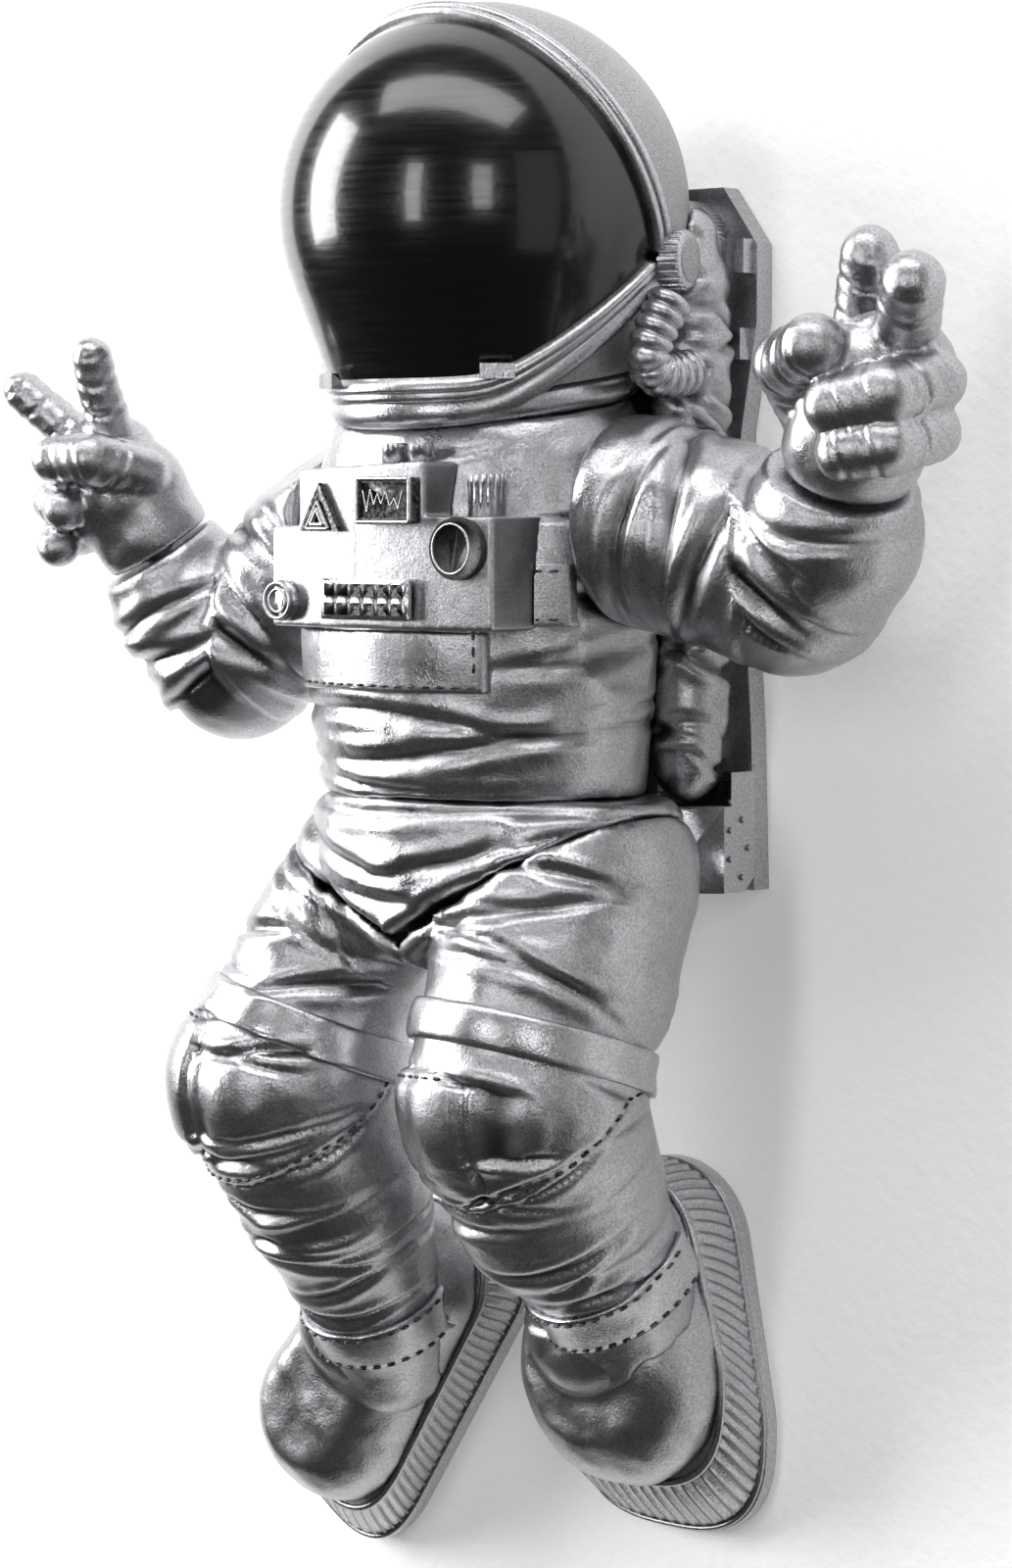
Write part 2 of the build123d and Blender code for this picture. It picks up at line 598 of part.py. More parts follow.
# ---------------------------------------------------------------- arms
for side, sign in sides.items():
    facet = Plane(SHOULDER[side] + Vector(sign * SWIVEL_GAP, 0, 0), z_dir=(sign, 0, 0))
    elbow, wrist = (Vector(*SLEEVE[side][i][:3]) for i in (-2, -1))
    forearm = (wrist - elbow).normalized()
    cuff = Plane(wrist, z_dir=forearm)
    with BuildPart() as sleeve:
        ball_run(SLEEVE[side])
        split(bisect_by=facet, keep=Keep.TOP)
        split(bisect_by=cuff, keep=Keep.BOTTOM)
        with Locations(facet):
            Cylinder(SHOULDER_PEG_R, 8, align=(Align.CENTER, Align.CENTER, Align.MIN), mode=Mode.SUBTRACT)
        with Locations(cuff.offset(-10)):
            Cylinder(WRIST_PEG_R + RUNNING, 10, align=(Align.CENTER, Align.CENTER, Align.MIN), mode=Mode.SUBTRACT)
    save(sleeve, f"{side}_sleeve")

    with BuildPart() as shoulder_peg:
        with Locations(facet.offset(8)):
            Cylinder(
                SHOULDER_PEG_R,
                8 + SWIVEL_GAP + BORE_LENGTH + 1.0,
                align=(Align.CENTER, Align.CENTER, Align.MAX),
            )
    save(shoulder_peg, f"{side}_shoulder_peg")

    with BuildPart() as shoulder_washer:
        with Locations(facet.offset(-SWIVEL_GAP - BORE_LENGTH - 1.0)):
            Cylinder(7.5, 1.4, align=(Align.CENTER, Align.CENTER, Align.MAX))
    save(shoulder_washer, f"{side}_shoulder_washer")

    with BuildPart() as glove:
        for run in GLOVE[side].values():
            ball_run(run)
        split(bisect_by=cuff.offset(SWIVEL_GAP), keep=Keep.TOP)
        with Locations(cuff.offset(SWIVEL_GAP)):
            Cylinder(WRIST_PEG_R, 6, align=(Align.CENTER, Align.CENTER, Align.MIN), mode=Mode.SUBTRACT)
    save(glove, f"{side}_glove")

    with BuildPart() as wrist_peg:
        with Locations(cuff.offset(SWIVEL_GAP + 6)):
            Cylinder(WRIST_PEG_R, 6 + SWIVEL_GAP + 9, align=(Align.CENTER, Align.CENTER, Align.MAX))
    save(wrist_peg, f"{side}_wrist_peg")

# ---------------------------------------------------------------- backpack
SCREW_R = 1.5
SCREW_LENGTH = 4.0
SCREW_SPOTS = [(x, KEYHOLE_Z + dz) for x in (-KEYHOLE_X, KEYHOLE_X) for dz in (-15, 15)]
with BuildPart() as back_plate:
    with BuildSketch(Plane.XZ):
        with BuildLine():
            Polyline(
                (-PLATE_HALF_W, -PLATE_HALF_H),
                (PLATE_HALF_W, -PLATE_HALF_H),
                (PLATE_HALF_W - 1, -40),
                (PLATE_HALF_W - 3, -10),
                (PLATE_HALF_W - 4, 22),
                (PLATE_HALF_W, 45),
                (PLATE_HALF_W, 61),
                (PLATE_HALF_W - 9, PLATE_HALF_H),
                (-PLATE_HALF_W + 9, PLATE_HALF_H),
                (-PLATE_HALF_W, 61),
                (-PLATE_HALF_W, 45),
                (-PLATE_HALF_W + 4, 22),
                (-PLATE_HALF_W + 3, -10),
                (-PLATE_HALF_W + 1, -40),
                close=True,
            )
        make_face()
    extrude(amount=PLATE_THICK)
    with BuildSketch(Plane.XZ):
        with Locations((-KEYHOLE_X, KEYHOLE_Z), (KEYHOLE_X, KEYHOLE_Z)):
            Rectangle(*POCKET)
    extrude(amount=PLATE_THICK, mode=Mode.SUBTRACT)
    with BuildSketch(Plane.XZ):
        with Locations((-KEYHOLE_X, KEYHOLE_Z), (KEYHOLE_X, KEYHOLE_Z)):
            Rectangle(POCKET[0] + 0.2, POCKET[1] + 12.2)
    extrude(amount=HANGER_THICK, mode=Mode.SUBTRACT)
    with BuildSketch(Plane.XZ):
        with Locations(*SCREW_SPOTS):
            Circle(SCREW_R)
    extrude(amount=SCREW_LENGTH + 0.2, mode=Mode.SUBTRACT)
save(back_plate, "back_plate")

with BuildPart() as keyhole_plates:
    with BuildSketch(Plane.XZ):
        with Locations((-KEYHOLE_X, KEYHOLE_Z), (KEYHOLE_X, KEYHOLE_Z)):
            RectangleRounded(POCKET[0], POCKET[1] + 12, 1.5)
        with Locations((-KEYHOLE_X, KEYHOLE_Z - 4), (KEYHOLE_X, KEYHOLE_Z - 4)):
            Circle(HEAD_HOLE_R, mode=Mode.SUBTRACT)
        with Locations((-KEYHOLE_X, KEYHOLE_Z + 1), (KEYHOLE_X, KEYHOLE_Z + 1)):
            SlotCenterToCenter(10, 2 * SLOT_R, rotation=90, mode=Mode.SUBTRACT)
        with Locations(*SCREW_SPOTS):
            Circle(SCREW_R + 0.1, mode=Mode.SUBTRACT)
    extrude(amount=HANGER_THICK)
save(keyhole_plates, "keyhole_plates")

with BuildPart() as keyhole_screws:
    with BuildSketch(Plane.XZ.offset(0.1)):
        with Locations(*SCREW_SPOTS):
            Circle(SCREW_R - 0.02)
    extrude(amount=SCREW_LENGTH)
save(keyhole_screws, "keyhole_screws")

HOUSING_HALF_W = 30.0
with BuildPart() as pack_housing:
    with BuildSketch(Plane.XZ.offset(PLATE_THICK + 0.05)):
        with Locations((0, 9)):
            RectangleRounded(2 * HOUSING_HALF_W + 6, 123, 9)
    extrude(amount=-BACK_Y - PLATE_THICK - 0.1)
    for sign in (1, -1):
        with Locations((sign * DUCT_X, -17.5, 0)):
            Cylinder(9.3, 200, mode=Mode.SUBTRACT)
save(pack_housing, "pack_housing")

DUCT = [(62, 6.0), (54, 8.2), (38, 8.8), (20, 8.4), (0, 8.0), (-20, 8.4), (-36, 8.8), (-47, 7.0)]  # z, radius
for side, sign in sides.items():
    with BuildPart() as duct:
        ball_run([(sign * DUCT_X, -17.5, z, radius) for z, radius in DUCT])
        with Locations((sign * DUCT_X, -17.5, 0)):
            Cylinder(9.0, 300, mode=Mode.INTERSECT)
        add(slab(-PLATE_THICK - SEAT_GAP, 100), mode=Mode.SUBTRACT)
        add(torso_clear, mode=Mode.SUBTRACT)
        add(helmet_body(HEAD_R + SEAT_GAP), mode=Mode.SUBTRACT)
        with Locations(Plane(SHOULDER[side] - Vector(sign * 0.3, 0, 0), z_dir=(sign, 0, 0))):
            Cylinder(SWEPT_R - 5, 20, align=(Align.CENTER, Align.CENTER, Align.MIN), mode=Mode.SUBTRACT)
        with Locations(ring_plane):
            Cylinder(RING_R + 0.3, RING_HEIGHT + 0.6, mode=Mode.SUBTRACT)
        add(hoses[side], mode=Mode.SUBTRACT)
    save(duct, f"{side}_duct")

with BuildPart() as pack_base:
    with BuildSketch(Plane.XY.offset(-PLATE_HALF_H)):
        Polygon(
            (-PLATE_HALF_W, -PLATE_THICK - 0.05),
            (-PLATE_HALF_W, BACK_Y + 1),
            (-30, -24),
            (30, -24),
            (PLATE_HALF_W, BACK_Y + 1),
            (PLATE_HALF_W, -PLATE_THICK - 0.05),
            align=None,
        )
    extrude(amount=25)
    chamfer(pack_base.faces().sort_by(Axis.Z)[0].edges().filter_by(Axis.X), length=3)
    add(lower_body.part, mode=Mode.SUBTRACT)
    add(slab(-60, BACK_Y + 0.2, half_width=41.5, z_from=-53, z_to=-40), mode=Mode.SUBTRACT)
    add(pack_housing.part, mode=Mode.SUBTRACT)
    for sign in (1, -1):
        with Locations((sign * DUCT_X, -17.5, 0)):
            Cylinder(9.3, 110, mode=Mode.SUBTRACT)
save(pack_base, "pack_base")

RIVETS = [(-9, -70), (-9, -58), (-13, -66), (-13, -60), (-13, -54), (-7, -64)]  # y, z on each side of the base
with BuildPart() as pack_rivets:
    for sign in (1, -1):
        for y, z in RIVETS:
            with Locations(Plane((sign * (PLATE_HALF_W + 0.05), y, z), z_dir=(sign, 0, 0))):
                Cylinder(0.7, 0.6, align=(Align.CENTER, Align.CENTER, Align.MIN))
save(pack_rivets, "pack_rivets")

CLIPS = [(38.8, 58.5, 2.4, 7.0), (38.0, 40.5, 2.4, 6.5)]  # x, z, width and height of the clips by each edge
with BuildPart() as pack_clips:
    with BuildSketch(Plane.XZ.offset(PLATE_THICK + 0.05)):
        for x, z, width, height in CLIPS:
            with Locations((x, z), (-x, z)):
                Rectangle(width, height)
    extrude(amount=3.2)
save(pack_clips, "pack_clips")
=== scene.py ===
# %% [markdown]
# # A wall-hung astronaut figure in silver leaf
# The real figure is cast in resin, in pieces that plug together, then covered in silver leaf and lacquered.
# Everything here stands in the frame of the CAD model: the wall is the plane Y = 0, the figure faces -Y, and
# the unit is the metre. Sizes below are written in millimetres and turned to metres in one place.

import math
import random

import bmesh
import bpy
import numpy as np
from mathutils import Matrix, Vector, noise
from mathutils.bvhtree import BVHTree


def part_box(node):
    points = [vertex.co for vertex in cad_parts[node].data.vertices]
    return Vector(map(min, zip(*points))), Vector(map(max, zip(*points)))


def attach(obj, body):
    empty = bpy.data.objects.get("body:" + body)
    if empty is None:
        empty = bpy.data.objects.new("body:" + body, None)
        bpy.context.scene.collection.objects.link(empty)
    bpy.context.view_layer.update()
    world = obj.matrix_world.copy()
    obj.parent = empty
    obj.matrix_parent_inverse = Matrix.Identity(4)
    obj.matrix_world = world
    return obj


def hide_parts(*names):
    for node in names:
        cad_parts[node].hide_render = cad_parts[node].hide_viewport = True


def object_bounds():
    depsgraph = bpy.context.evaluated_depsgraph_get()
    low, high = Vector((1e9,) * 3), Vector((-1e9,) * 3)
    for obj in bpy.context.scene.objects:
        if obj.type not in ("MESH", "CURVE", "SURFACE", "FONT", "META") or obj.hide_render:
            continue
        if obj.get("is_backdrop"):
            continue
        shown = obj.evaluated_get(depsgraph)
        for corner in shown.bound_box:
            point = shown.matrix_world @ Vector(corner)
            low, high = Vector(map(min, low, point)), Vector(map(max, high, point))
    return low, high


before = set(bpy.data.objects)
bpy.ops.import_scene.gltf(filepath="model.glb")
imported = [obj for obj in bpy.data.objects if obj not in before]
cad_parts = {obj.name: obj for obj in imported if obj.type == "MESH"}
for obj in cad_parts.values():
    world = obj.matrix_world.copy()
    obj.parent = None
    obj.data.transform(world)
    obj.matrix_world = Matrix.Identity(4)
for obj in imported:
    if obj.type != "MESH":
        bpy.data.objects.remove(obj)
cad_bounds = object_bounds()
MM = 0.001
SIDES = {"left": 1, "right": -1}

# %% [markdown]
# ## Camera, wall and light
# Silver leaf has no colour of its own: it shows the room. So the room is what is designed first. Two broad
# soft lights give the long bright highlights, and the dark part of the room gives the blacks between them.
# The figure hangs on a pale plastered wall, so the backdrop is that wall.

# %% Camera
VIEW_TURN = math.radians(42)
VIEW_RISE = math.radians(4)
VIEW_DISTANCE = 0.85
VIEW_TARGET = Vector((0, -36.9, -51.0)) * MM
SENSOR_WIDTH = 36
LENS = 93.3
NEAREST = 0.05
back = Vector(
    (
        math.sin(VIEW_TURN) * math.cos(VIEW_RISE),
        -math.cos(VIEW_TURN) * math.cos(VIEW_RISE),
        math.sin(VIEW_RISE),
    )
)
camera = bpy.data.objects.new("camera", bpy.data.cameras.new("camera"))
bpy.context.scene.collection.objects.link(camera)
camera.location = VIEW_TARGET + back * VIEW_DISTANCE
camera.rotation_euler = back.to_track_quat("Z", "Y").to_euler()
camera.data.sensor_width = SENSOR_WIDTH
camera.data.lens = LENS
camera.data.clip_start = NEAREST
bpy.context.scene.camera = camera
print("camera at", [round(c, 3) for c in camera.location])


# %% Materials: one function for colours and one for nodes
def linear(hex_colour, gain=1.0):
    """An sRGB hex colour as linear RGBA, made lighter or darker by a gain."""
    parts = [int(hex_colour[i : i + 2], 16) / 255 for i in (1, 3, 5)]
    light = [c / 12.92 if c <= 0.04045 else ((c + 0.055) / 1.055) ** 2.4 for c in parts]
    return (*[min(1, c * gain) for c in light], 1.0)


def set_sockets(tree, node, links=None, **values):
    """Fills a node's sockets: values are fixed, links come from other nodes. An underscore is a space."""
    for key, value in values.items():
        node.inputs[key.replace("_", " ")].default_value = value
    for key, source in (links or {}).items():
        tree.links.new(source, node.inputs[key])
    return node


def add_node(tree, kind, settings=None, links=None, stops=(), **values):
    """Adds a shader node: settings are its properties, stops the (position, colour) ends of its ramp."""
    node = tree.nodes.new(kind)
    for key, value in (settings or {}).items():
        setattr(node, key, value)
    for i, (position, colour) in enumerate(stops):
        node.color_ramp.elements[i].position = position
        node.color_ramp.elements[i].color = colour
    return set_sockets(tree, node, links, **values)


def new_material(name, **values):
    """A material with fixed shader values: it, its tree, its shader and the object's own coordinates."""
    material = bpy.data.materials.new(name)
    material.use_nodes = True
    tree = material.node_tree
    shader = set_sockets(tree, tree.nodes["Principled BSDF"], **values)
    return material, tree, shader, add_node(tree, "ShaderNodeTexCoord").outputs["Object"]


# %% [markdown]
# ## Silver leaf over cast resin
# Leaf is laid by brush over a tacky size, so it keeps the brush's fine dents and small crumbs. Grooves are
# painted near-black: painted shade in the grooves. The leaf is a metal; the dark is dull paint. An attribute
# that every sculpted piece carries says how deep a point lies in a groove, and so how much painted shade it
# gets.


# %% Silver leaf
def silver_leaf(name, leaf="#b4b4b7", roughness=0.30, dent=1.0):
    """Metal leaf with brush dents about 1.5 mm across, painted near-black where the surface is pressed in:
    painted shade in the grooves.
    """
    material, tree, shader, coords = new_material(name, Metallic=1.0)
    sizes = (
        {"Scale": 260.0, "Detail": 4.0, "Roughness": 0.6},
        {"Scale": 1900.0, "Detail": 3.0, "Roughness": 0.7},
        {"Scale": 90.0, "Detail": 3.0},
    )
    textures = [add_node(tree, "ShaderNodeTexNoise", links={"Vector": coords}, **size) for size in sizes]
    broad, crumbs, clouds = (texture.outputs["Fac"] for texture in textures)
    # Painted shade: the attribute read here darkens the leaf in grooves, on the control box's sides and in the
    # rand's grooves, and gives the keys their black wash. The fine crumbs break it up.
    wash_and_shade = add_node(tree, "ShaderNodeAttribute", {"attribute_name": "wash_and_shade"}).outputs["Fac"]
    speckled_shade_and_wash = add_node(tree, "ShaderNodeMath", {"operation": "MULTIPLY_ADD"}, {0: crumbs, 2: wash_and_shade})
    speckled_shade_and_wash.inputs[1].default_value = 0.5
    remap = {"From_Min": 0.55, "From_Max": 1.3, "To_Min": 0.0, "To_Max": 0.95}
    shade_and_wash_amount = add_node(tree, "ShaderNodeMapRange", links={"Value": speckled_shade_and_wash.outputs[0]}, **remap)
    tones = ((0.30, linear(leaf, 0.62)), (0.62, linear(leaf, 1.12)))
    shade = add_node(tree, "ShaderNodeValToRGB", links={"Fac": crumbs}, stops=tones)
    blend = {0: shade_and_wash_amount.outputs["Result"], 6: shade.outputs["Color"]}
    colour = add_node(tree, "ShaderNodeMix", {"data_type": "RGBA"}, blend)
    # The near-black that grooves are painted with as painted shade; the keys take it as their black wash.
    colour.inputs[7].default_value = linear("#161616")
    remap = {"From_Min": 0.3, "From_Max": 0.7, "To_Min": roughness - 0.07, "To_Max": roughness + 0.09}
    rough = add_node(tree, "ShaderNodeMapRange", links={"Value": clouds}, **remap)
    fine = add_node(tree, "ShaderNodeBump", links={"Height": crumbs}, Strength=0.32 * dent, Distance=0.0003)
    under = {"Height": broad, "Normal": fine.outputs["Normal"]}
    soft = add_node(tree, "ShaderNodeBump", links=under, Strength=0.16 * dent, Distance=0.0010)
    set_sockets(tree, shader, {"Base Color": colour.outputs[2], "Roughness": rough.outputs["Result"]})
    set_sockets(tree, shader, {"Normal": soft.outputs["Normal"]})
    return material


SILVER = silver_leaf("silver_leaf_on_resin")
SILVER_SMOOTH = silver_leaf("silver_leaf_burnished", leaf="#bcbcbf", roughness=0.28, dent=0.75)
SILVER_SATIN = silver_leaf("silver_leaf_matted", leaf="#b6b6b9", roughness=0.40, dent=0.9)
print("silver materials ready")


# %% [markdown]
# ## The other finishes
# The helmet's dome is sprayed in satin grey with a fine grain. The visor is black lacquer, brushed on, so
# it keeps faint arcs of brush marks. The inlays of the control box are silver flooded with black wash, and
# the hanging hardware is zinc-plated steel.


# %% Helmet grey, black lacquer, dark wash and painted stitch shade, zinc and plaster
def grained_paint(name, scale, detail, stops, strength, distance, **values):
    """Paint whose grain shows in its tone and its relief: stops are the tones at two shares of the grain."""
    material, tree, shader, coords = new_material(name, **values)
    texture = add_node(tree, "ShaderNodeTexNoise", links={"Vector": coords}, Scale=scale, Detail=detail)
    grain = texture.outputs["Fac"]
    tone = add_node(tree, "ShaderNodeValToRGB", links={"Fac": grain}, stops=stops)
    bump = add_node(tree, "ShaderNodeBump", links={"Height": grain}, Strength=strength, Distance=distance)
    set_sockets(tree, shader, {"Base Color": tone.outputs["Color"], "Normal": bump.outputs["Normal"]})
    return material


def brushed_finish(name, stretch, detail, rough_low, rough_high, **values):
    """A finish whose gloss varies along strokes: stretch is how tightly they lie along x, y and z."""
    material, tree, shader, coords = new_material(name, **values)
    drawn = add_node(tree, "ShaderNodeMapping", links={"Vector": coords}, Scale=stretch).outputs["Vector"]
    texture = add_node(tree, "ShaderNodeTexNoise", links={"Vector": drawn}, Scale=1.0, Detail=detail)
    strokes = texture.outputs["Fac"]
    remap = {"From_Min": 0.3, "From_Max": 0.7, "To_Min": rough_low, "To_Max": rough_high}
    rough = add_node(tree, "ShaderNodeMapRange", links={"Value": strokes}, **remap)
    set_sockets(tree, shader, {"Roughness": rough.outputs["Result"]})
    return material, tree, shader, coords, strokes


def black_lacquer():
    """Black lacquer with faint brush arcs about 1 mm apart running across the visor."""
    gloss = {"Base_Color": linear("#060607"), "Coat_Weight": 0.4, "Coat_Roughness": 0.08}
    material, tree, shader, coords, strokes = brushed_finish(
        "black_lacquer_visor", (60.0, 60.0, 900.0), 3.0, 0.17, 0.27, **gloss
    )
    dust = add_node(tree, "ShaderNodeTexNoise", links={"Vector": coords}, Scale=350.0, Detail=4.0)
    fine = add_node(tree, "ShaderNodeBump", links={"Height": strokes}, Strength=0.12, Distance=0.0002)
    under = {"Height": dust.outputs["Fac"], "Normal": fine.outputs["Normal"]}
    both = add_node(tree, "ShaderNodeBump", links=under, Strength=0.10, Distance=0.0004)
    set_sockets(tree, shader, {"Normal": both.outputs["Normal"]})
    return material


def wall_paint():
    """White wall paint put on with a roller, whose stipple is about 2.5 mm across. The backdrop has only
    one side: its back lets the eye through, so that the figure's own back can be looked at."""
    glow = {"Emission_Color": linear("#ffffff"), "Emission_Strength": 0.22}
    material, tree, shader, coords = new_material(
        "rolled_wall_paint", Base_Color=linear("#fafafa"), Roughness=0.75, **glow
    )
    roller = {"Scale": 330.0, "Detail": 3.0, "Roughness": 0.55}
    stipple = add_node(tree, "ShaderNodeTexNoise", links={"Vector": coords}, **roller).outputs["Fac"]
    bump = add_node(tree, "ShaderNodeBump", links={"Height": stipple}, Strength=0.35, Distance=0.0009)
    set_sockets(tree, shader, {"Normal": bump.outputs["Normal"]})
    behind = add_node(tree, "ShaderNodeNewGeometry").outputs["Backfacing"]
    clear = add_node(tree, "ShaderNodeBsdfTransparent").outputs["BSDF"]
    one_sided = add_node(tree, "ShaderNodeMixShader", links={0: behind, 1: shader.outputs["BSDF"], 2: clear})
    set_sockets(tree, tree.nodes["Material Output"], {"Surface": one_sided.outputs["Shader"]})
    return material


# Sprayed grey metallic paint: flakes about 0.3 mm apart, drawn coarse enough to show.
flakes = ((0.3, linear("#7d7d7f")), (0.7, linear("#b4b4b6")))
GREY = grained_paint("satin_grey_spray", 2600.0, 2.0, flakes, 0.15, 0.0002, Metallic=0.55, Roughness=0.46)
BLACK = black_lacquer()
# Silver flooded with black wash: nearly black, with silver showing through in small worn spots.
worn = ((0.42, linear("#1d1d1e")), (0.80, linear("#8f8f92")))
# On the stitches this near-black is painted shade, standing for their sunken holes.
BLACK_WASH_AND_SHADE = grained_paint("black_wash_inlay_and_stitch_shade", 1300.0, 4.0, worn, 0.3, 0.0003, Metallic=0.7, Roughness=0.38)
# Satin black enamel with a fine brushed-on unevenness, about 0.8 mm across.
uneven = ((0.35, linear("#0b0b0b")), (0.75, linear("#3a3a3b")))
ENAMEL = grained_paint("black_satin_enamel", 1200.0, 3.0, uneven, 0.2, 0.0003, Roughness=0.48)
# Bright zinc plating on rolled steel, with rolling marks about 0.4 mm apart.
steel = {"Base_Color": linear("#bcc0c4"), "Metallic": 1.0}
ZINC = brushed_finish("zinc_plated_steel", (2500.0, 2500.0, 120.0), 2.0, 0.26, 0.42, **steel)[0]
PLASTER = wall_paint()


# %% Wall and lights
WALL_X, WALL_Y, WALL_Z = 1.6, 0.0006, 1.3
bm = bmesh.new()
bm.faces.new([bm.verts.new((x * WALL_X, WALL_Y, z * WALL_Z)) for x, z in ((-1, -1), (1, -1), (1, 1), (-1, 1))])
mesh = bpy.data.meshes.new("wall")
bm.to_mesh(mesh)
bm.free()
wall = bpy.data.objects.new("wall", mesh)
wall.data.materials.append(PLASTER)
bpy.context.scene.collection.objects.link(wall)
wall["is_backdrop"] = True


def soft_light(name, place, width, height, power):
    """A rectangular soft box that looks at the middle of the figure."""
    light = bpy.data.lights.new(name, "AREA")
    light.shape = "RECTANGLE"
    light.size = width
    light.size_y = height
    light.energy = power
    lamp = bpy.data.objects.new(name, light)
    lamp.location = place
    lamp.rotation_euler = (Vector(place) - Vector(CENTRE)).to_track_quat("Z", "Y").to_euler()
    bpy.context.scene.collection.objects.link(lamp)


CENTRE = (0.0, -0.04, -0.05)
soft_light("key_left", (-1.15, -0.75, 0.35), 0.55, 1.1, 27)
soft_light("strip_front", (0.08, -1.35, 0.22), 0.20, 0.7, 3.2)
soft_light("beside_camera", (0.95, -1.10, 0.30), 0.26, 0.6, 2.6)
soft_light("top", (0.1, -0.55, 1.05), 1.5, 0.4, 10)
soft_light("fill_right", (1.35, -0.45, 0.1), 0.6, 1.4, 1.2)
world = bpy.data.worlds.new("room")
bpy.context.scene.world = world
world.use_nodes = True
set_sockets(world.node_tree, world.node_tree.nodes["Background"], Color=linear("#808080"), Strength=0.3)
bpy.context.scene.view_settings.view_transform = "Standard"

# %% [markdown]
# ## Sculpting from the frame
# The soft suit is sculpted, so its pieces start as a copy of their plain CAD solids, which already have the
# right size and place. A voxel remesh turns the copy into even clay, smoothing rounds its corners, and then
# folds are pressed in. Working this way keeps every sculpted piece inside its CAD solid's space.


# %% Clay from CAD nodes
WELD = 0.01 * MM


def link(name, bm, material, body, node=None, slot="silver_resin"):
    """Turns a bmesh into a named piece that rides on a body, and stands in for a CAD node if it is given."""
    mesh = bpy.data.meshes.new(name)
    bm.to_mesh(mesh)
    bm.free()
    mesh.shade_smooth()
    piece = bpy.data.objects.new(name, mesh)
    bpy.context.scene.collection.objects.link(piece)
    mesh.materials.append(material)
    if "wash_and_shade" not in mesh.attributes:
        mesh.attributes.new("wash_and_shade", "FLOAT", "POINT")
    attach(piece, body)
    if node:
        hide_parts(node)
    return piece


def cad_copy(node):
    """A bmesh of a CAD node with its doubles merged."""
    bm = bmesh.new()
    bm.from_mesh(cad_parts[node].data)
    bmesh.ops.remove_doubles(bm, verts=bm.verts, dist=WELD)
    return bm


def clay(node, voxel, rounds, extra=None):
    """A bmesh of even clay in the shape of a CAD node, its corners rounded by smoothing."""
    bm = cad_copy(node)
    if extra:
        extra(bm)
    mesh = bpy.data.meshes.new(node + "_rough")
    bm.to_mesh(mesh)
    bm.free()
    lump = bpy.data.objects.new(node + "_rough", mesh)
    bpy.context.scene.collection.objects.link(lump)
    remesh = lump.modifiers.new("even", "REMESH")
    remesh.mode = "VOXEL"
    remesh.voxel_size = voxel * MM
    remesh.adaptivity = 0.0
    depsgraph = bpy.context.evaluated_depsgraph_get()
    even = bpy.data.meshes.new_from_object(lump.evaluated_get(depsgraph))
    bpy.data.objects.remove(lump)
    bm = bmesh.new()
    bm.from_mesh(even)
    for _ in range(rounds):
        bmesh.ops.smooth_vert(bm, verts=bm.verts, factor=0.5, use_axis_x=True, use_axis_y=True, use_axis_z=True)
    return bm


FULL_SHADE_DEPTH = 1.5  # a groove this deep in mm is painted fully near-black, as painted shade


def press(bm, field):
    """Moves each vertex along its normal by the field, in mm, and stores how deep it was pressed, which paints
    the groove dark as painted shade.
    """
    bm.normal_update()
    points = np.array([v.co for v in bm.verts]) / MM
    normals = np.array([v.normal for v in bm.verts])
    depth = field(points)
    moved = (points + normals * depth[:, None]) * MM
    layer = bm.verts.layers.float.get("wash_and_shade") or bm.verts.layers.float.new("wash_and_shade")
    for v, place, d in zip(bm.verts, moved, depth):
        v.co = place
        v[layer] = min(1.0, max(v[layer], -d / FULL_SHADE_DEPTH))
    return bm


# %% [markdown]
# ## Folds
# A fold in a thick suit is a shallow valley with a puffed roll on each side. It runs part of the way round a
# limb and fades out. Each limb gets an axis; a fold is then a place along the axis, a direction round it, a
# slant, a width and a depth. Most folds are strewn from a seeded random list, as cloth does, and the few that
# give the pose its character are listed one by one.


# %% Limb coordinates and folds
def limb_frame(axis):
    """For points in mm: distance along the axis, angle round it from the front, and distance from it."""
    axis = [Vector(p) for p in axis]
    starts = np.array(axis[:-1])
    spans = np.array(axis[1:]) - starts
    lengths = np.linalg.norm(spans, axis=1)
    before = np.concatenate([[0], np.cumsum(lengths)])[:-1]

    def measure(points):
        t = np.einsum("nsk,sk->ns", points[:, None, :] - starts[None], spans) / lengths**2
        t[:, 1:] = np.maximum(t[:, 1:], 0)
        t[:, :-1] = np.minimum(t[:, :-1], 1)
        foot = starts[None] + t[..., None] * spans[None]
        gap = points[:, None, :] - foot
        pick = np.argmin(np.einsum("nsk,nsk->ns", gap, gap), axis=1)
        rows = np.arange(len(points))
        gap = gap[rows, pick]
        along = before[pick] + t[rows, pick] * lengths[pick]
        direction = spans[pick] / lengths[pick][:, None]
        front = np.array([0, -1.0, 0]) - direction * (-direction[:, 1])[:, None]
        front /= np.linalg.norm(front, axis=1)[:, None]
        side = np.cross(front, direction)
        side *= np.where(side[:, 0] < 0, -1, 1)[:, None]
        angle = np.degrees(np.arctan2(np.einsum("nk,nk->n", gap, side), np.einsum("nk,nk->n", gap, front)))
        return along, angle, np.linalg.norm(gap, axis=1)

    return measure


def soft_noise(points, scale, shift=0.0):
    """Smooth noise at each point; the scale is about one over the size of a lump in mm."""
    return np.array([noise.noise(Vector(p) * scale + Vector((shift, 0, 0))) for p in points])


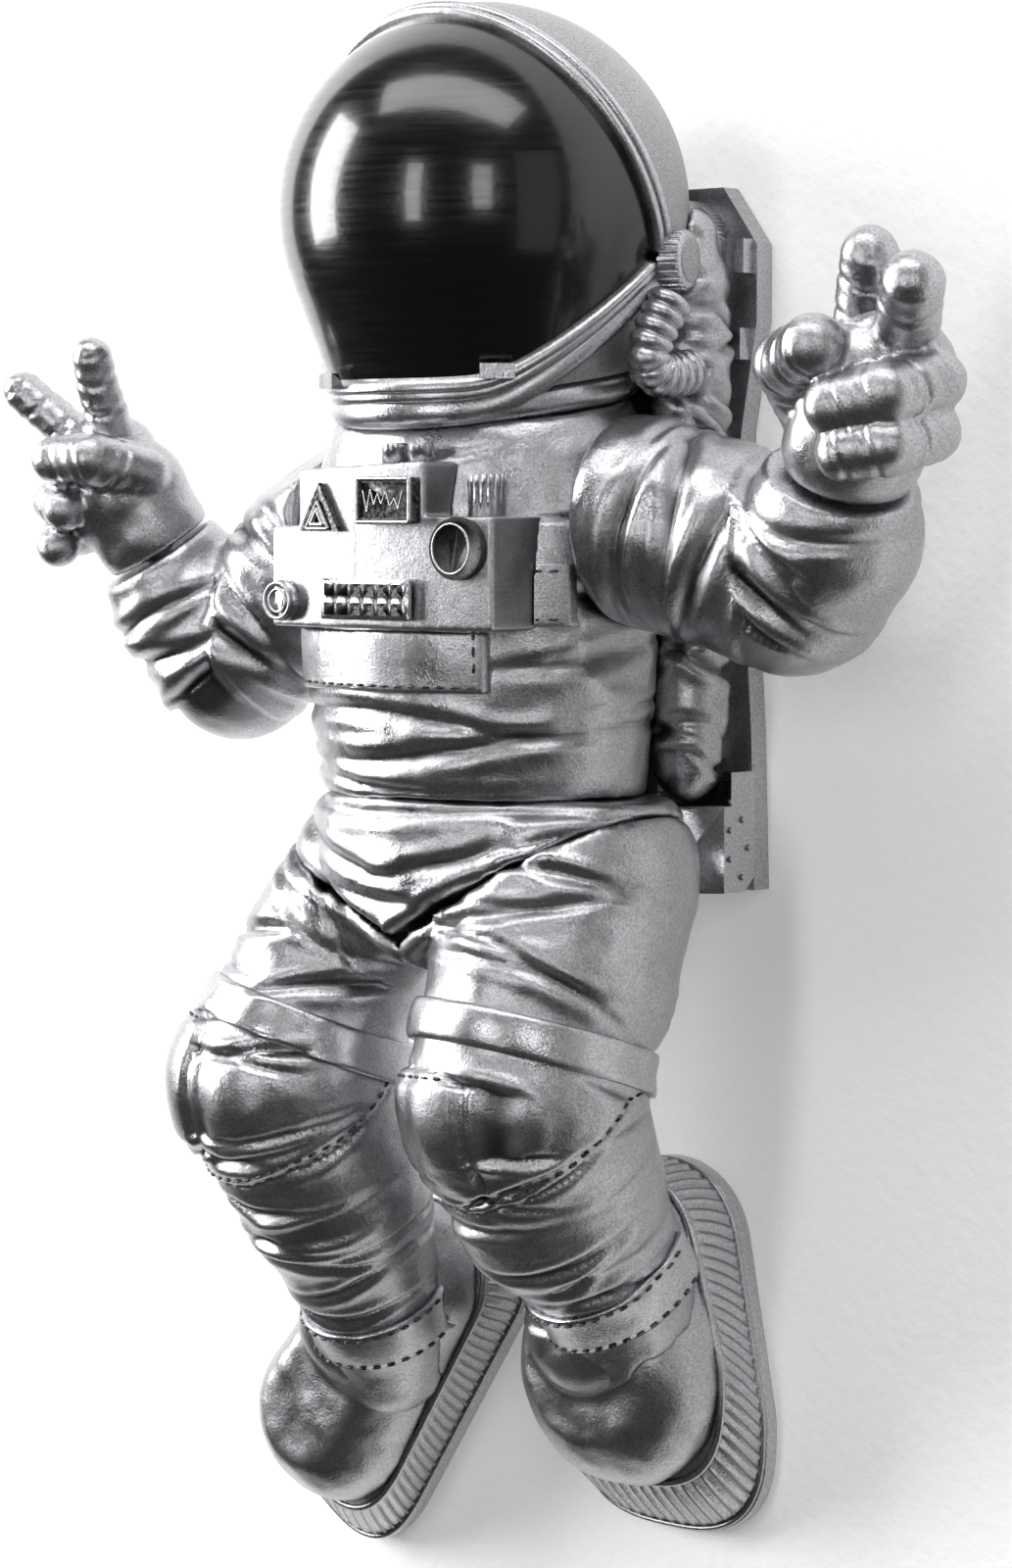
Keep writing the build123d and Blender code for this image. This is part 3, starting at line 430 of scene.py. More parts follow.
def fold(along, angle, place, middle, span, width, depth, slant=0.0):
    """One fold: place along the limb and middle angle, half span in degrees, width and depth in mm."""
    turn = (angle - middle + 180) % 360 - 180
    fade = np.clip(1 - np.abs(turn) / span, 0, 1)
    fade = fade * fade * (3 - 2 * fade)
    x = (along - place - slant * turn / 90 - 1.5 * np.sin(np.radians(turn * 2.1 + place * 37))) / (
        width * (0.55 + 0.45 * fade)
    )
    return depth * fade * (0.45 * np.exp(-(((np.abs(x) - 2.3) / 1.3) ** 2)) - np.exp(-np.abs(x) ** 1.5))


FOLD_WIDTH, FOLD_DEPTH = 0.72, 0.8  # every listed fold is drawn this much narrower and shallower
DEEPEST = 2.6


def strewn_folds(axis, seed, count, reach, depth=(0.5, 1.1), width=(0.9, 1.8), span=(35, 85), placed=()):
    """A field of random folds between two places along a limb, with some listed one by one."""
    measure = limb_frame(axis)
    chance = random.Random(seed)
    listed = list(placed)
    step = (reach[1] - reach[0]) / count
    for i in range(count):
        listed.append(
            (
                reach[0] + step * (i + chance.uniform(0.1, 0.9)),
                chance.uniform(-180, 180),
                chance.uniform(*span),
                chance.uniform(*width),
                chance.uniform(*depth),
                chance.uniform(-5, 5),
            )
        )

    def field(points):
        along, angle, _ = measure(points)
        total = np.zeros(len(points))
        for place, middle, half, wide, deep, slant in listed:
            total += fold(along, angle, place, middle, half, wide * FOLD_WIDTH, deep * FOLD_DEPTH, slant)
        lumps = soft_noise(points, 0.085) + 0.5 * soft_noise(points, 0.21)
        return DEEPEST * np.tanh(total / DEEPEST) + 0.40 * lumps

    return field


# %% [markdown]
# ## Two more tools
# Hard castings whose CAD shape is already right only need smooth shading, so they are copied and merged.
# Straps, piping and hoses are sheets of grid bent round a path: a grid is created, each vertex is moved to
# its place, and the seam is merged. A skin finds the surface that a strap lies on by casting rays at it.


# %% Smooth copies, bent grids and skins
def smooth_copy(node, material, slot="silver_resin", sharp=32):
    """A CAD casting of the trunk with its soft edges shaded smooth."""
    piece = link(node + "_cast", cad_copy(node), material, "trunk", node, slot)
    piece.data.set_sharp_from_angle(angle=math.radians(sharp))
    return piece


def bent_grid(bm, columns, rows, place, paint=None):
    """A grid bent to place(u, v), in metres, with u and v from 0 to 1. Sides that meet are merged, and open
    ends are filled. paint(u, v) is how dark a point is painted, used as painted shade in grooves."""
    wash_and_shade = bm.verts.layers.float.get("wash_and_shade") or bm.verts.layers.float.new("wash_and_shade")
    made = bmesh.ops.create_grid(bm, x_segments=columns, y_segments=rows, size=0.5)["verts"]
    for v in made:
        u, w = v.co.x + 0.5, v.co.y + 0.5
        v[wash_and_shade] = paint(u, w) if paint else 0.0
        v.co = place(u, w)
    bmesh.ops.remove_doubles(bm, verts=made, dist=0.002 * MM)
    made = [v for v in made if v.is_valid]
    faces = list({f for v in made for f in v.link_faces})
    open_edges = [e for e in {e for f in faces for e in f.edges} if e.is_boundary]
    if open_edges:
        faces += bmesh.ops.holes_fill(bm, edges=open_edges, sides=0)["faces"]
    bmesh.ops.recalc_face_normals(bm, faces=faces)


def wire(bm, points, radius, closed=True, columns=160):
    """A thin round bead along straight runs between points in mm."""
    points = [Vector(p) for p in points] + ([Vector(points[0])] if closed else [])
    run = np.concatenate([[0], np.cumsum([(b - a).length for a, b in zip(points, points[1:])])])

    def at(distance):
        distance = distance % run[-1] if closed else min(max(distance, 0), run[-1])
        return Vector([float(np.interp(distance, run, [p[k] for p in points])) for k in range(3)])

    def place(u, v):
        here = at(u * run[-1])
        way = (at(u * run[-1] + 0.05) - at(u * run[-1] - 0.05)).normalized()
        out = Vector((0, -1, 0)) if abs(way.y) < 0.9 else Vector((0, 0, 1))
        side = way.cross(out).normalized()
        turn = 2 * math.pi * v
        return (here + (side * math.cos(turn) + side.cross(way) * math.sin(turn)) * radius) * MM

    bent_grid(bm, columns, 8, place)


SKIN_REACH, SKIN_GUESS = 70 * MM, 15 * MM  # where a ray starts from, and the skin's place if it finds none


def skin_of(bm):
    """A function that finds the outermost surface point from an axis point in a direction, in metres."""
    tree = BVHTree.FromBMesh(bm)

    def touch(origin, direction):
        hit, normal, _, _ = tree.ray_cast(origin + direction * SKIN_REACH, -direction)
        return (hit, normal) if hit else (origin + direction * SKIN_GUESS, direction)

    return touch


def round_limb(axis):
    """A function giving the direction at an angle round a limb, 0 to the front and 90 to the figure's left."""
    axis = Vector(axis).normalized()
    front = (Vector((0, -1, 0)) - axis * axis.dot(Vector((0, -1, 0)))).normalized()
    side = axis.cross(front)
    side = side if side.x > 0 else -side
    return lambda degrees: front * math.cos(math.radians(degrees)) + side * math.sin(math.radians(degrees))


STRAP_COLUMNS = 120


def strap(bm, touch, centre, axis, start, end, width, thick):
    """A flat band with rounded edges lying on a limb's skin from one angle to another, in degrees."""
    centre, axis = Vector(centre) * MM, Vector(axis).normalized()
    towards = round_limb(axis)

    def place(u, v):
        turn = 2 * math.pi * v
        c, s = math.cos(turn), math.sin(turn)
        ends = 1.0
        if end - start < 359:
            ends = min(1, (u * (1 - u) * STRAP_COLUMNS * 0.35) ** 0.5 + 0.02)
        across = width / 2 * math.copysign(abs(c) ** 0.45, c) * ends
        rise = thick * (0.5 + 0.5 * math.copysign(abs(s) ** 0.7, s)) * (0.55 + 0.45 * ends) - 0.5
        direction = towards(start + (end - start) * u)
        hit, _ = touch(centre + axis * across * MM, direction)
        return hit + direction * rise * MM

    bent_grid(bm, STRAP_COLUMNS, 16, place)


STITCH_LENGTH, STITCH_GAP = 2.1, 1.2


def stitches(bm, touch, spots, radius=0.34):
    """Short raised stitches on a surface, along a row of (axis point, direction) pairs, in metres."""
    line = [touch(*spot) for spot in spots]
    travelled, due = 0.0, 0.0
    for (a, normal), (b, _) in zip(line, line[1:]):
        step = (b - a).length / MM
        while step > 0 and due < travelled + step:
            middle = a.lerp(b, (due - travelled) / step) + normal * radius * 0.4 * MM
            turn = (b - a).to_track_quat("Z", "Y").to_matrix().to_4x4()
            size = Matrix.Diagonal((radius * MM, radius * MM, STITCH_LENGTH / 2 * MM, 1))
            bmesh.ops.create_uvsphere(
                bm, u_segments=7, v_segments=5, radius=1.0, matrix=Matrix.Translation(middle) @ turn @ size
            )
            due += STITCH_LENGTH + STITCH_GAP
        travelled += step


# %% [markdown]
# ## Helmet
# A helmet's dome is a ball that runs out into a short cone above the neck ring. The visor is a window cut
# by two planes that meet at the ears. On the real one the frame round the window is beads of clay laid side
# by side, so it is built as two bands: one over the arch, following its plane, and one under the chin, which
# drops from the ears and then runs level just above the neck ring.

# %% Helmet dimensions
HEAD = Vector((0, -44, 67.5))
HEAD_R = 42.5
SKIRT_TOP = math.radians(-21.2)
SKIRT_END = (27.5, -47.0)
EAR_CORNER = Vector((0, -36.7, 56.4))
ARCH_LEAN, CHIN_SLOPE, RING_TILT = (math.radians(a) for a in (27.5, 40.5, 9))
ARCH_BACK = Vector((0, math.cos(ARCH_LEAN), math.sin(ARCH_LEAN)))
CHIN_BACK = Vector((0, math.sin(CHIN_SLOPE), -math.cos(CHIN_SLOPE)))
RING_UP = Vector((0, -math.sin(RING_TILT), math.cos(RING_TILT)))
RING_TOP = Vector((0, -43, 30)) + RING_UP * 3.0
VISOR_SUNK, VISOR_THICK, VISOR_TUCK = 0.6, 2.5, 2  # below the dome, wall, and reach under the frame


def dome(offset, count=48):
    """The helmet's surface, spun round its upright axis from the crown to the end of its skirt."""
    r = HEAD_R + offset
    arc = [math.pi / 2 + (SKIRT_TOP - math.pi / 2) * i / count for i in range(count + 1)]
    profile = [(r * math.cos(a), r * math.sin(a)) for a in arc] + [(SKIRT_END[0] + offset, SKIRT_END[1])]
    bm = bmesh.new()
    points = [bm.verts.new((HEAD + Vector((x, 0, z))) * MM) for x, z in profile]
    geometry = points + [bm.edges.new(pair) for pair in zip(points, points[1:])]
    around = {"cent": HEAD * MM, "axis": (0, 0, 1), "angle": 2 * math.pi, "steps": 160}
    bmesh.ops.spin(bm, geom=geometry, use_merge=True, **around)
    bmesh.ops.remove_doubles(bm, verts=bm.verts, dist=WELD)
    bmesh.ops.recalc_face_normals(bm, faces=bm.faces)
    return bm


def cut(bm, point, normal):
    """Cuts away what lies on the side of a plane that the normal points to."""
    geometry = bm.verts[:] + bm.edges[:] + bm.faces[:]
    bmesh.ops.bisect_plane(bm, geom=geometry, plane_co=point * MM, plane_no=normal, clear_outer=True)


# %% Visor
bm = dome(-VISOR_SUNK)
cut(bm, EAR_CORNER + ARCH_BACK * VISOR_TUCK, ARCH_BACK)
cut(bm, EAR_CORNER + CHIN_BACK * VISOR_TUCK, CHIN_BACK)
cut(bm, RING_TOP, -RING_UP)
bmesh.ops.solidify(bm, geom=bm.faces, thickness=VISOR_THICK * MM)
visor = link("visor_glass", bm, BLACK, "trunk", "visor", "black_gloss")
visor.data.set_sharp_from_angle(angle=math.radians(40))
smooth_copy("helmet_shell", GREY, slot="helmet_grey")
print("visor faces:", len(visor.data.polygons))


# %% Visor frame: two beads over the arch, a wider band under the chin
def dome_reach(direction, offset):
    """Distance from the head's centre to the helmet's surface in a direction."""
    up = math.asin(max(-1, min(1, direction.z)))
    r = HEAD_R + offset
    if up >= SKIRT_TOP:
        return r
    top = Vector((r * math.cos(SKIRT_TOP), r * math.sin(SKIRT_TOP)))
    end = Vector((SKIRT_END[0] + offset, SKIRT_END[1]))
    along = end - top
    ray = Vector((math.cos(up), math.sin(up)))
    return (top.x * along.y - top.y * along.x) / (ray.x * along.y - ray.y * along.x)


def dome_point(back, distance, alpha, offset):
    """The helmet surface point on the plane at a distance behind a window edge, at an angle in that plane."""
    middle = HEAD + back * (EAR_CORNER - HEAD).dot(back) + back * distance
    up = back.cross(Vector((1, 0, 0))).normalized()
    up = up if up.z > 0 else -up
    ray = Vector((1, 0, 0)) * math.cos(alpha) + up * math.sin(alpha)
    low, high = 5.0, 70.0
    for _ in range(26):
        reach = (low + high) / 2
        spot = middle + ray * reach - HEAD
        if spot.length > dome_reach(spot.normalized(), offset):
            high = reach
        else:
            low = reach
    return middle + ray * low


def across(section, v):
    """The (distance from the window, rise) point a share v of the way along a band's section."""
    step = v * (len(section) - 1)
    i = min(int(step), len(section) - 2)
    return [a + (b - a) * (step - i) for a, b in zip(section[i], section[i + 1])]


def frame_band(bm, back, start, end, section, columns=200):
    """A moulded band behind a window edge, from one angle to another in degrees."""

    def place(u, v):
        distance, rise = across(section, v)
        return dome_point(back, distance, math.radians(start + (end - start) * u), rise) * MM

    bent_grid(bm, columns, 2 * len(section), place)


def bead_section(beads, foot=-2.0):
    """The section of a band made of round beads: (middle, half width, rise) each, from the window outwards."""
    points = [(beads[0][0] - beads[0][1], foot)]
    for middle, half, rise in beads:
        for i in range(9):
            turn = math.pi * i / 8
            points.append((middle - half * math.cos(turn), 0.15 + rise * math.sin(turn)))
    points.append((beads[-1][0] + beads[-1][1], foot))
    return points


CHIN_FRONT_Z = 30.6  # the chin band stays this high in front, just above the neck ring


def chin_edge(turn):
    """The window's lower edge at an angle round the head, 0 in front: down from the ears, then level."""
    z = 40.0
    for _ in range(30):
        up = math.asin(max(-1, min(1, (z - HEAD.z) / 46)))
        ray = Vector((math.sin(turn) * math.cos(up), -math.cos(turn) * math.cos(up), math.sin(up)))
        spot = HEAD + ray * dome_reach(ray, 0)
        aim = EAR_CORNER.z + (spot.y - EAR_CORNER.y) * math.tan(CHIN_SLOPE) - CHIN_FRONT_Z
        aim = CHIN_FRONT_Z + 0.5 * (aim + math.sqrt(aim * aim + 8))
        z += 0.5 * (aim - spot.z)
    return spot


def chin_band(bm, section, reach=1.72, columns=220):
    """A moulded band below the window's lower edge."""
    edges = [chin_edge(-reach + 2 * reach * i / columns) for i in range(columns + 1)]

    def place(u, v):
        i = round(u * columns)
        here = edges[i]
        way = (edges[min(i + 1, columns)] - edges[max(i - 1, 0)]).normalized()
        down = way.cross((here - HEAD).normalized())
        down = down if down.z < 0 else -down
        distance, rise = across(section, v)
        ray = (here + down * distance - HEAD).normalized()
        return (HEAD + ray * dome_reach(ray, rise)) * MM

    bent_grid(bm, columns, 2 * len(section), place)


bm = bmesh.new()
frame_band(bm, ARCH_BACK, -16, 196, bead_section([(1.1, 1.3, 1.5), (3.7, 1.5, 1.7)]))
chin_band(bm, bead_section([(-0.2, 0.9, 1.3), (1.7, 1.0, 0.9), (4.4, 1.9, 1.7)]))
visor_frame = link("visor_frame_beads", bm, SILVER_SMOOTH, "trunk", "visor_frame")
smooth_copy("visor_latches", SILVER_SMOOTH)
smooth_copy("neck_ring", SILVER_SMOOTH)
print("frame size mm:", [round(c / MM, 1) for c in visor_frame.dimensions])

# %% [markdown]
# ## Ear caps and hoses
# A ribbed cap sits at each ear, and a short corrugated hose runs from it down to the shoulder. The hose is a
# tube whose radius swells and shrinks with each rib, about every 3 mm.

# %% Caps and hoses
EAR_TURN = math.radians(16.5)  # the ears face this far to the back
EAR_CENTRE, EAR_OUT = Vector((0, -44, 56.5)), 46.2
for side, sign in SIDES.items():
    smooth_copy(f"{side}_ear_cap", SILVER_SMOOTH, sharp=25)
    out = Vector((sign * math.cos(EAR_TURN), math.sin(EAR_TURN), 0))
    turn = out.to_track_quat("Z", "Y").to_matrix().to_4x4()
    place = Matrix.Translation((EAR_CENTRE + out * EAR_OUT) * MM) @ turn
    bm = bmesh.new()
    size = {"radius1": 4.9 * MM, "radius2": 4.5 * MM, "depth": 0.8 * MM}
    bmesh.ops.create_cone(bm, cap_ends=True, segments=48, matrix=place, **size)
    rounding = {"affect": "EDGES", "segments": 2, "profile": 0.5, "material": -1}
    bmesh.ops.bevel(bm, geom=bm.edges[:], offset=0.15 * MM, **rounding)
    face = link(f"{side}_ear_cap_face", bm, GREY, "trunk", slot="helmet_grey")
    face.data.set_sharp_from_angle(angle=math.radians(35))

HOSE_PATH = [(43.5, -35.5, 49), (42, -39.5, 42), (40.5, -40, 35), (40, -33, 32.5), (39.5, -25, 34.5)]
HOSE_R, HOSE_RIB, RIB_DEPTH = 4.1, 2.9, 0.55


def smooth_path(points, count):
    """Evenly spaced points on a smooth curve through the given ones, with their running length in mm."""
    line = bpy.data.curves.new("path", "CURVE")
    line.dimensions = "3D"
    spline = line.splines.new("NURBS")
    spline.points.add(len(points) - 1)
    for spot, point in zip(spline.points, points):
        spot.co = (*point, 1)
    spline.order_u = 3
    spline.use_endpoint_u = True
    spline.resolution_u = 24
    holder = bpy.data.objects.new("path", line)
    dense = [v.co.copy() for v in bpy.data.meshes.new_from_object(holder).vertices]
    bpy.data.objects.remove(holder)
    run = np.concatenate([[0], np.cumsum([(b - a).length for a, b in zip(dense, dense[1:])])])
    want = np.linspace(0, run[-1], count)
    even = np.array([np.interp(want, run, [p[k] for p in dense]) for k in range(3)]).T
    return [Vector(p) for p in even], want


def ribbed_tube(bm, points):
    """A hose along points in mm whose radius swells once per rib."""
    path, run = smooth_path(points, 140)

    def place(u, v):
        i = min(int(u * (len(path) - 1) + 0.5), len(path) - 1)
        tangent = (path[min(i + 1, len(path) - 1)] - path[max(i - 1, 0)]).normalized()
        first = tangent.cross(Vector((1, 0.2, 0))).normalized()
        second = tangent.cross(first)
        r = HOSE_R + RIB_DEPTH * (abs(math.sin(math.pi * run[i] / HOSE_RIB)) ** 0.6 * 2 - 1)
        turn = 2 * math.pi * v
        return (path[i] + (first * math.cos(turn) + second * math.sin(turn)) * r) * MM

    bent_grid(bm, 139, 28, place)


for side, sign in SIDES.items():
    bm = bmesh.new()
    ribbed_tube(bm, [(sign * x, y, z) for x, y, z in HOSE_PATH])
    link(f"{side}_hose_ribs", bm, SILVER_SMOOTH, "trunk", f"{side}_hose")
print("caps and hoses done")

# %% [markdown]
# ## Torso
# The suit's body shows little between the control box, the backpack and the arms, but where it does show
# it is creased by the belt and by the bend at the waist.

# %% Torso
TORSO_AXIS = [(0, -44, 30), (0, -44, -52)]
body_folds = strewn_folds(
    TORSO_AXIS,
    seed=3,
    count=16,
    reach=(12, 80),
    placed=[
        (66, 0, 130, 1.8, 1.5, 3), (72, 20, 150, 2.0, 1.7, -4), (78, -30, 120, 1.6, 1.2, 2),
        (40, 75, 60, 2.4, 1.8, 8), (52, 80, 50, 2.2, 1.6, -6), (40, -75, 60, 2.4, 1.8, 8),
        (52, -80, 50, 2.2, 1.6, -6),
    ],
)
torso = link("torso_suit", press(clay("torso", 1.0, 5), body_folds), SILVER, "trunk", "torso")
print("torso faces:", len(torso.data.polygons))

# %% [markdown]
# ## Legs
# Each leg is a thick padded tube, bent at the knee. A stitched patch covers the knee, a smooth band holds
# the thigh above it, and a stitched strap closes the ankle. The patch is part of the suit, so it is raised
# in the clay; the band and the strap lie on the skin as pieces of their own.

# %% Leg dimensions, the knee pad and the hip creases
LEG = {  # the middle line of each leg, from the hip to the foot
    "left": [
        (24, -43, -69), (25, -50, -88), (23.5, -56, -102), (23.8, -57.5, -112),
        (23.4, -47, -133), (26, -32, -152), (24, -24, -166),
    ],
    "right": [
        (-24, -45, -70), (-35, -50, -86), (-39.6, -56, -103.5), (-41.6, -59, -115),
        (-38.8, -49, -138), (-41, -32, -168), (-47, -24, -180),
    ],
}
# Each knee pad's place along the leg, half length, angle and half angle.
KNEE_PAD = {"left": (50.0, 8.0, -30, 40), "right": (50.0, 8.0, -60, 40)}
SHIN_SEAM = {  # (angle, distance along the leg) points of the seam that curves round under the knee
    "left": [(-120, 62), (-60, 61), (0, 59), (30, 56), (60, 53), (90, 48), (110, 45)],
    "right": [(-120, 62), (-60, 63), (0, 64), (30, 62), (60, 61), (90, 57), (110, 54)],
}
LEG_FOLDS = {  # place, angle, half span, width, depth and slant of each fold
    "left": [
        (5, 35, 70, 1.6, 1.4, 8), (12, 20, 90, 1.8, 1.5, -10), (19, -10, 100, 1.8, 1.6, 6),
        (26, 30, 100, 1.6, 1.3, 4), (54, 25, 70, 1.4, 1.3, -6), (47, 30, 45, 1.6, 1.7, 6),
        (51, 55, 55, 1.8, 1.8, -9), (57, 5, 60, 1.6, 1.8, 5), (50, -25, 40, 1.4, 1.4, 5),
        (66, -20, 80, 1.7, 1.5, -5), (72, 20, 90, 1.7, 1.6, 6), (79, 0, 90, 1.6, 1.4, -6),
        (86, 30, 100, 1.5, 1.3, 5), (45, 95, 40, 1.8, 1.5, 14), (52, 100, 45, 1.6, 1.3, 12),
    ],
    "right": [
        (7, -10, 80, 1.6, 1.4, 16), (14, -25, 80, 1.8, 1.5, 10), (22, -20, 90, 1.8, 1.6, -8),
        (28, 50, 80, 2.0, 1.9, -16), (46, 30, 60, 1.7, 1.5, -12), (53, 30, 70, 1.6, 1.4, 8),
        (49, 5, 50, 1.7, 1.8, -6), (57, -20, 60, 1.7, 1.8, 5), (60, 50, 50, 1.8, 1.7, -8),
        (50, -60, 40, 1.4, 1.4, 5), (58, 10, 70, 1.6, 1.3, -6), (70, 0, 90, 1.6, 1.4, 6),
        (77, 20, 90, 1.7, 1.5, -6), (84, 0, 100, 1.6, 1.4, 5), (92, 30, 100, 1.5, 1.3, -4),
        (100, 0, 120, 1.5, 1.3, 2),
    ],
}
HIP_SLOPE = {"left": 29, "right": 24}
CROTCH = np.array((-2.5, -50, -81.5))


def hip_crease(points, sides=("left", "right")):
    """The crease along the hip seams in front: a deep line with a rolled lip on each side."""
    total = np.zeros(len(points))
    for side in sides:
        rise = math.radians(HIP_SLOPE[side])
        normal = np.array((SIDES[side] * math.sin(rise), 0, -math.cos(rise)))
        gap = np.abs((points - CROTCH) @ normal)
        out = (points[:, 0] - CROTCH[0]) * SIDES[side]
        reach = np.clip(1.3 - out / 34, 0, 1) * np.clip(out / 2 + 1, 0, 1)
        reach = reach * np.clip((-points[:, 1] - 42) / 12, 0, 1)
        total += reach * (1.0 * np.exp(-(((gap - 3.0) / 1.7) ** 2)) - 0.9 * np.exp(-((gap / 1.0) ** 2)))
    return total


def leg_field(side):
    """Folds of a leg, a puffed pad on the knee, and the seam that curves round under it."""
    measure = limb_frame(LEG[side])
    seed = 21 if side == "left" else 34
    folds = strewn_folds(LEG[side], seed=seed, count=20, reach=(2, 108), placed=LEG_FOLDS[side])
    middle, half_length, turn, half_angle = KNEE_PAD[side]

    def field(points):
        along, angle, _ = measure(points)
        edge = (np.abs(along - middle) / half_length) ** 3 + (np.abs(angle - turn) / half_angle) ** 3
        inside = np.clip((1.08 - edge) / 0.2, 0, 1)
        border = np.exp(-(((edge - 1.2) / 0.2) ** 2))
        puff = np.clip(1 - edge, 0, 1)
        dimple = np.exp(-(((angle - turn - 6) / 7) ** 2)) * inside
        seam_place = np.interp(angle, *zip(*SHIN_SEAM[side]))
        past = along - seam_place
        seam = -0.8 * np.exp(-((past / 0.5) ** 2)) + 0.7 * np.exp(-(np.clip(-past, 0, 99) / 5)) * (past < 0)
        seam *= np.clip((125 - np.abs(angle)) / 15, 0, 1) * (np.abs(along - middle) < 30)
        sewn = folds(points) * (1 - 0.45 * inside) * (1 - 0.6 * np.exp(-((past / 2.0) ** 2)))
        pad = sewn + 0.8 * inside + 1.2 * puff - 0.6 * dimple - 0.7 * border
        return pad + seam + hip_crease(points, (side,))

    return field


def leg_spot(side, along, angle):
    """The axis point and direction for a place along and round a leg."""
    points = [Vector(p) for p in LEG[side]]
    for start, end in zip(points, points[1:]):
        span = (end - start).length
        if along <= span or end is points[-1]:
            break
        along -= span
    return start.lerp(end, along / span) * MM, round_limb(end - start)(angle)


# %% Hips
hip_folds = strewn_folds(
    [(0, -44, -50), (0, -44, -90)],
    seed=8,
    count=7,
    reach=(2, 22),
    depth=(0.4, 0.9),
    placed=[(4, 0, 150, 1.8, 1.3, 2), (12, 35, 70, 2.0, 1.5, -14), (12, -40, 70, 2.0, 1.5, 14)],
)
bm = press(clay("hips", 0.9, 6), lambda points: hip_folds(points) + hip_crease(points))
hips = link("hips_suit", bm, SILVER, "trunk", "hips")
print("hips faces:", len(hips.data.polygons))


# %% Sculpting the legs, their bands and straps
for side in SIDES:
    bm = press(clay(f"{side}_leg", 0.9, 6), leg_field(side))
    skin = skin_of(bm)
    leg = link(f"{side}_leg_suit", bm, SILVER, "trunk", f"{side}_leg")

    bm = bmesh.new()
    turns = [-75 + 2.5 * i for i in range(75)]
    seam = [leg_spot(side, float(np.interp(t, *zip(*SHIN_SEAM[side]))) - 1.7, t) for t in turns]
    middle, half_length, turn, half_angle = KNEE_PAD[side]
    top = [leg_spot(side, middle - 0.8 * half_length, turn + half_angle * i / 24) for i in range(-19, 20)]
    for row in (seam, top):
        stitches(bm, skin, row, radius=0.36)
    # The stitches are painted near-black: painted shade of their sunken holes.
    link(f"{side}_knee_stitches", bm, BLACK_WASH_AND_SHADE, "trunk")

    thigh, band, knee, shin, ankle = (Vector(p) for p in LEG[side][1:6])
    bm = bmesh.new()
    strap(bm, skin, band, knee - thigh, -180, 180, 8.5, 2.4)
    link(f"{side}_thigh_band_smooth", bm, SILVER_SMOOTH, "trunk", f"{side}_thigh_band")
    bm = bmesh.new()
    strap(bm, skin, ankle, ankle - shin, -118, 118, 11.0, 2.3)
    link(f"{side}_ankle_strap_sewn", bm, SILVER_SMOOTH, "trunk", f"{side}_ankle_strap")

    towards = round_limb(ankle - shin)
    down = (ankle - shin).normalized()
    lifted = lambda origin, direction: (skin(origin, direction)[0] + direction * 1.75 * MM, direction)
    bm = bmesh.new()
    for edge in (-4.3, 4.3):
        stitches(bm, lifted, [((ankle + down * edge) * MM, towards(-100 + 2.0 * i)) for i in range(101)])
    # The stitches are painted near-black: painted shade of their sunken holes.
    link(f"{side}_ankle_stitches", bm, BLACK_WASH_AND_SHADE, "trunk")
    print(side, "leg faces:", len(leg.data.polygons))

# %% [markdown]
# ## Sleeves and gloves
# The arms are bent, so the elbow gathers the deepest folds on its inner side. Gloves are thick and puffed:
# each finger is a run of round joints, melted together by the smoothing.

# %% Sleeves and gloves
SLEEVE = {
    "left": [(40, -41, 4), (57, -37, 0), (73, -33, -7), (84, -36, 1), (90, -40, 13)],
    "right": [(-40, -41, 4), (-56, -43, -14), (-70, -47, -25), (-77, -54, -14), (-81, -60, -3)],
}
SLEEVE_FOLDS = {
    "left": [
        (6, 0, 120, 2.2, 1.6, 4), (13, 40, 120, 2.4, 1.8, -6), (24, 0, 110, 2.4, 1.7, 6),
        (33, 60, 90, 2.6, 2.2, -5), (40, 0, 120, 2.6, 2.4, 3), (50, -20, 120, 2.2, 1.6, -4),
        (57, 0, 160, 1.8, 1.3, 0),
    ],
    "right": [
        (7, 0, 120, 2.4, 1.8, 5), (15, -40, 120, 2.6, 2.0, -6), (25, 0, 110, 2.6, 2.0, 6),
        (34, 10, 120, 2.8, 2.6, -5), (42, 0, 140, 2.8, 2.6, 3), (52, -20, 120, 2.2, 1.8, -4),
        (60, 0, 160, 1.8, 1.4, 0),
    ],
}
SHOULDER_X = 38.4  # the faces of the shoulder swivels


def calm_near_joints(side, field):
    """A field that dies away within 3 mm of the faces where the arm turns, so that they keep their gap."""
    elbow, wrist = (Vector(p) for p in SLEEVE[side][-2:])
    cuff = np.array((wrist - elbow).normalized())

    def calm(points):
        to_cuff = np.abs((points - np.array(wrist)) @ cuff)
        to_shoulder = np.abs(np.abs(points[:, 0]) - SHOULDER_X)
        near = np.minimum(to_cuff, to_shoulder)
        return field(points) * np.clip((near - 0.6) / 3.0, 0, 1) - 0.25 * np.clip((1.6 - near) / 1.0, 0, 1)

    return calm


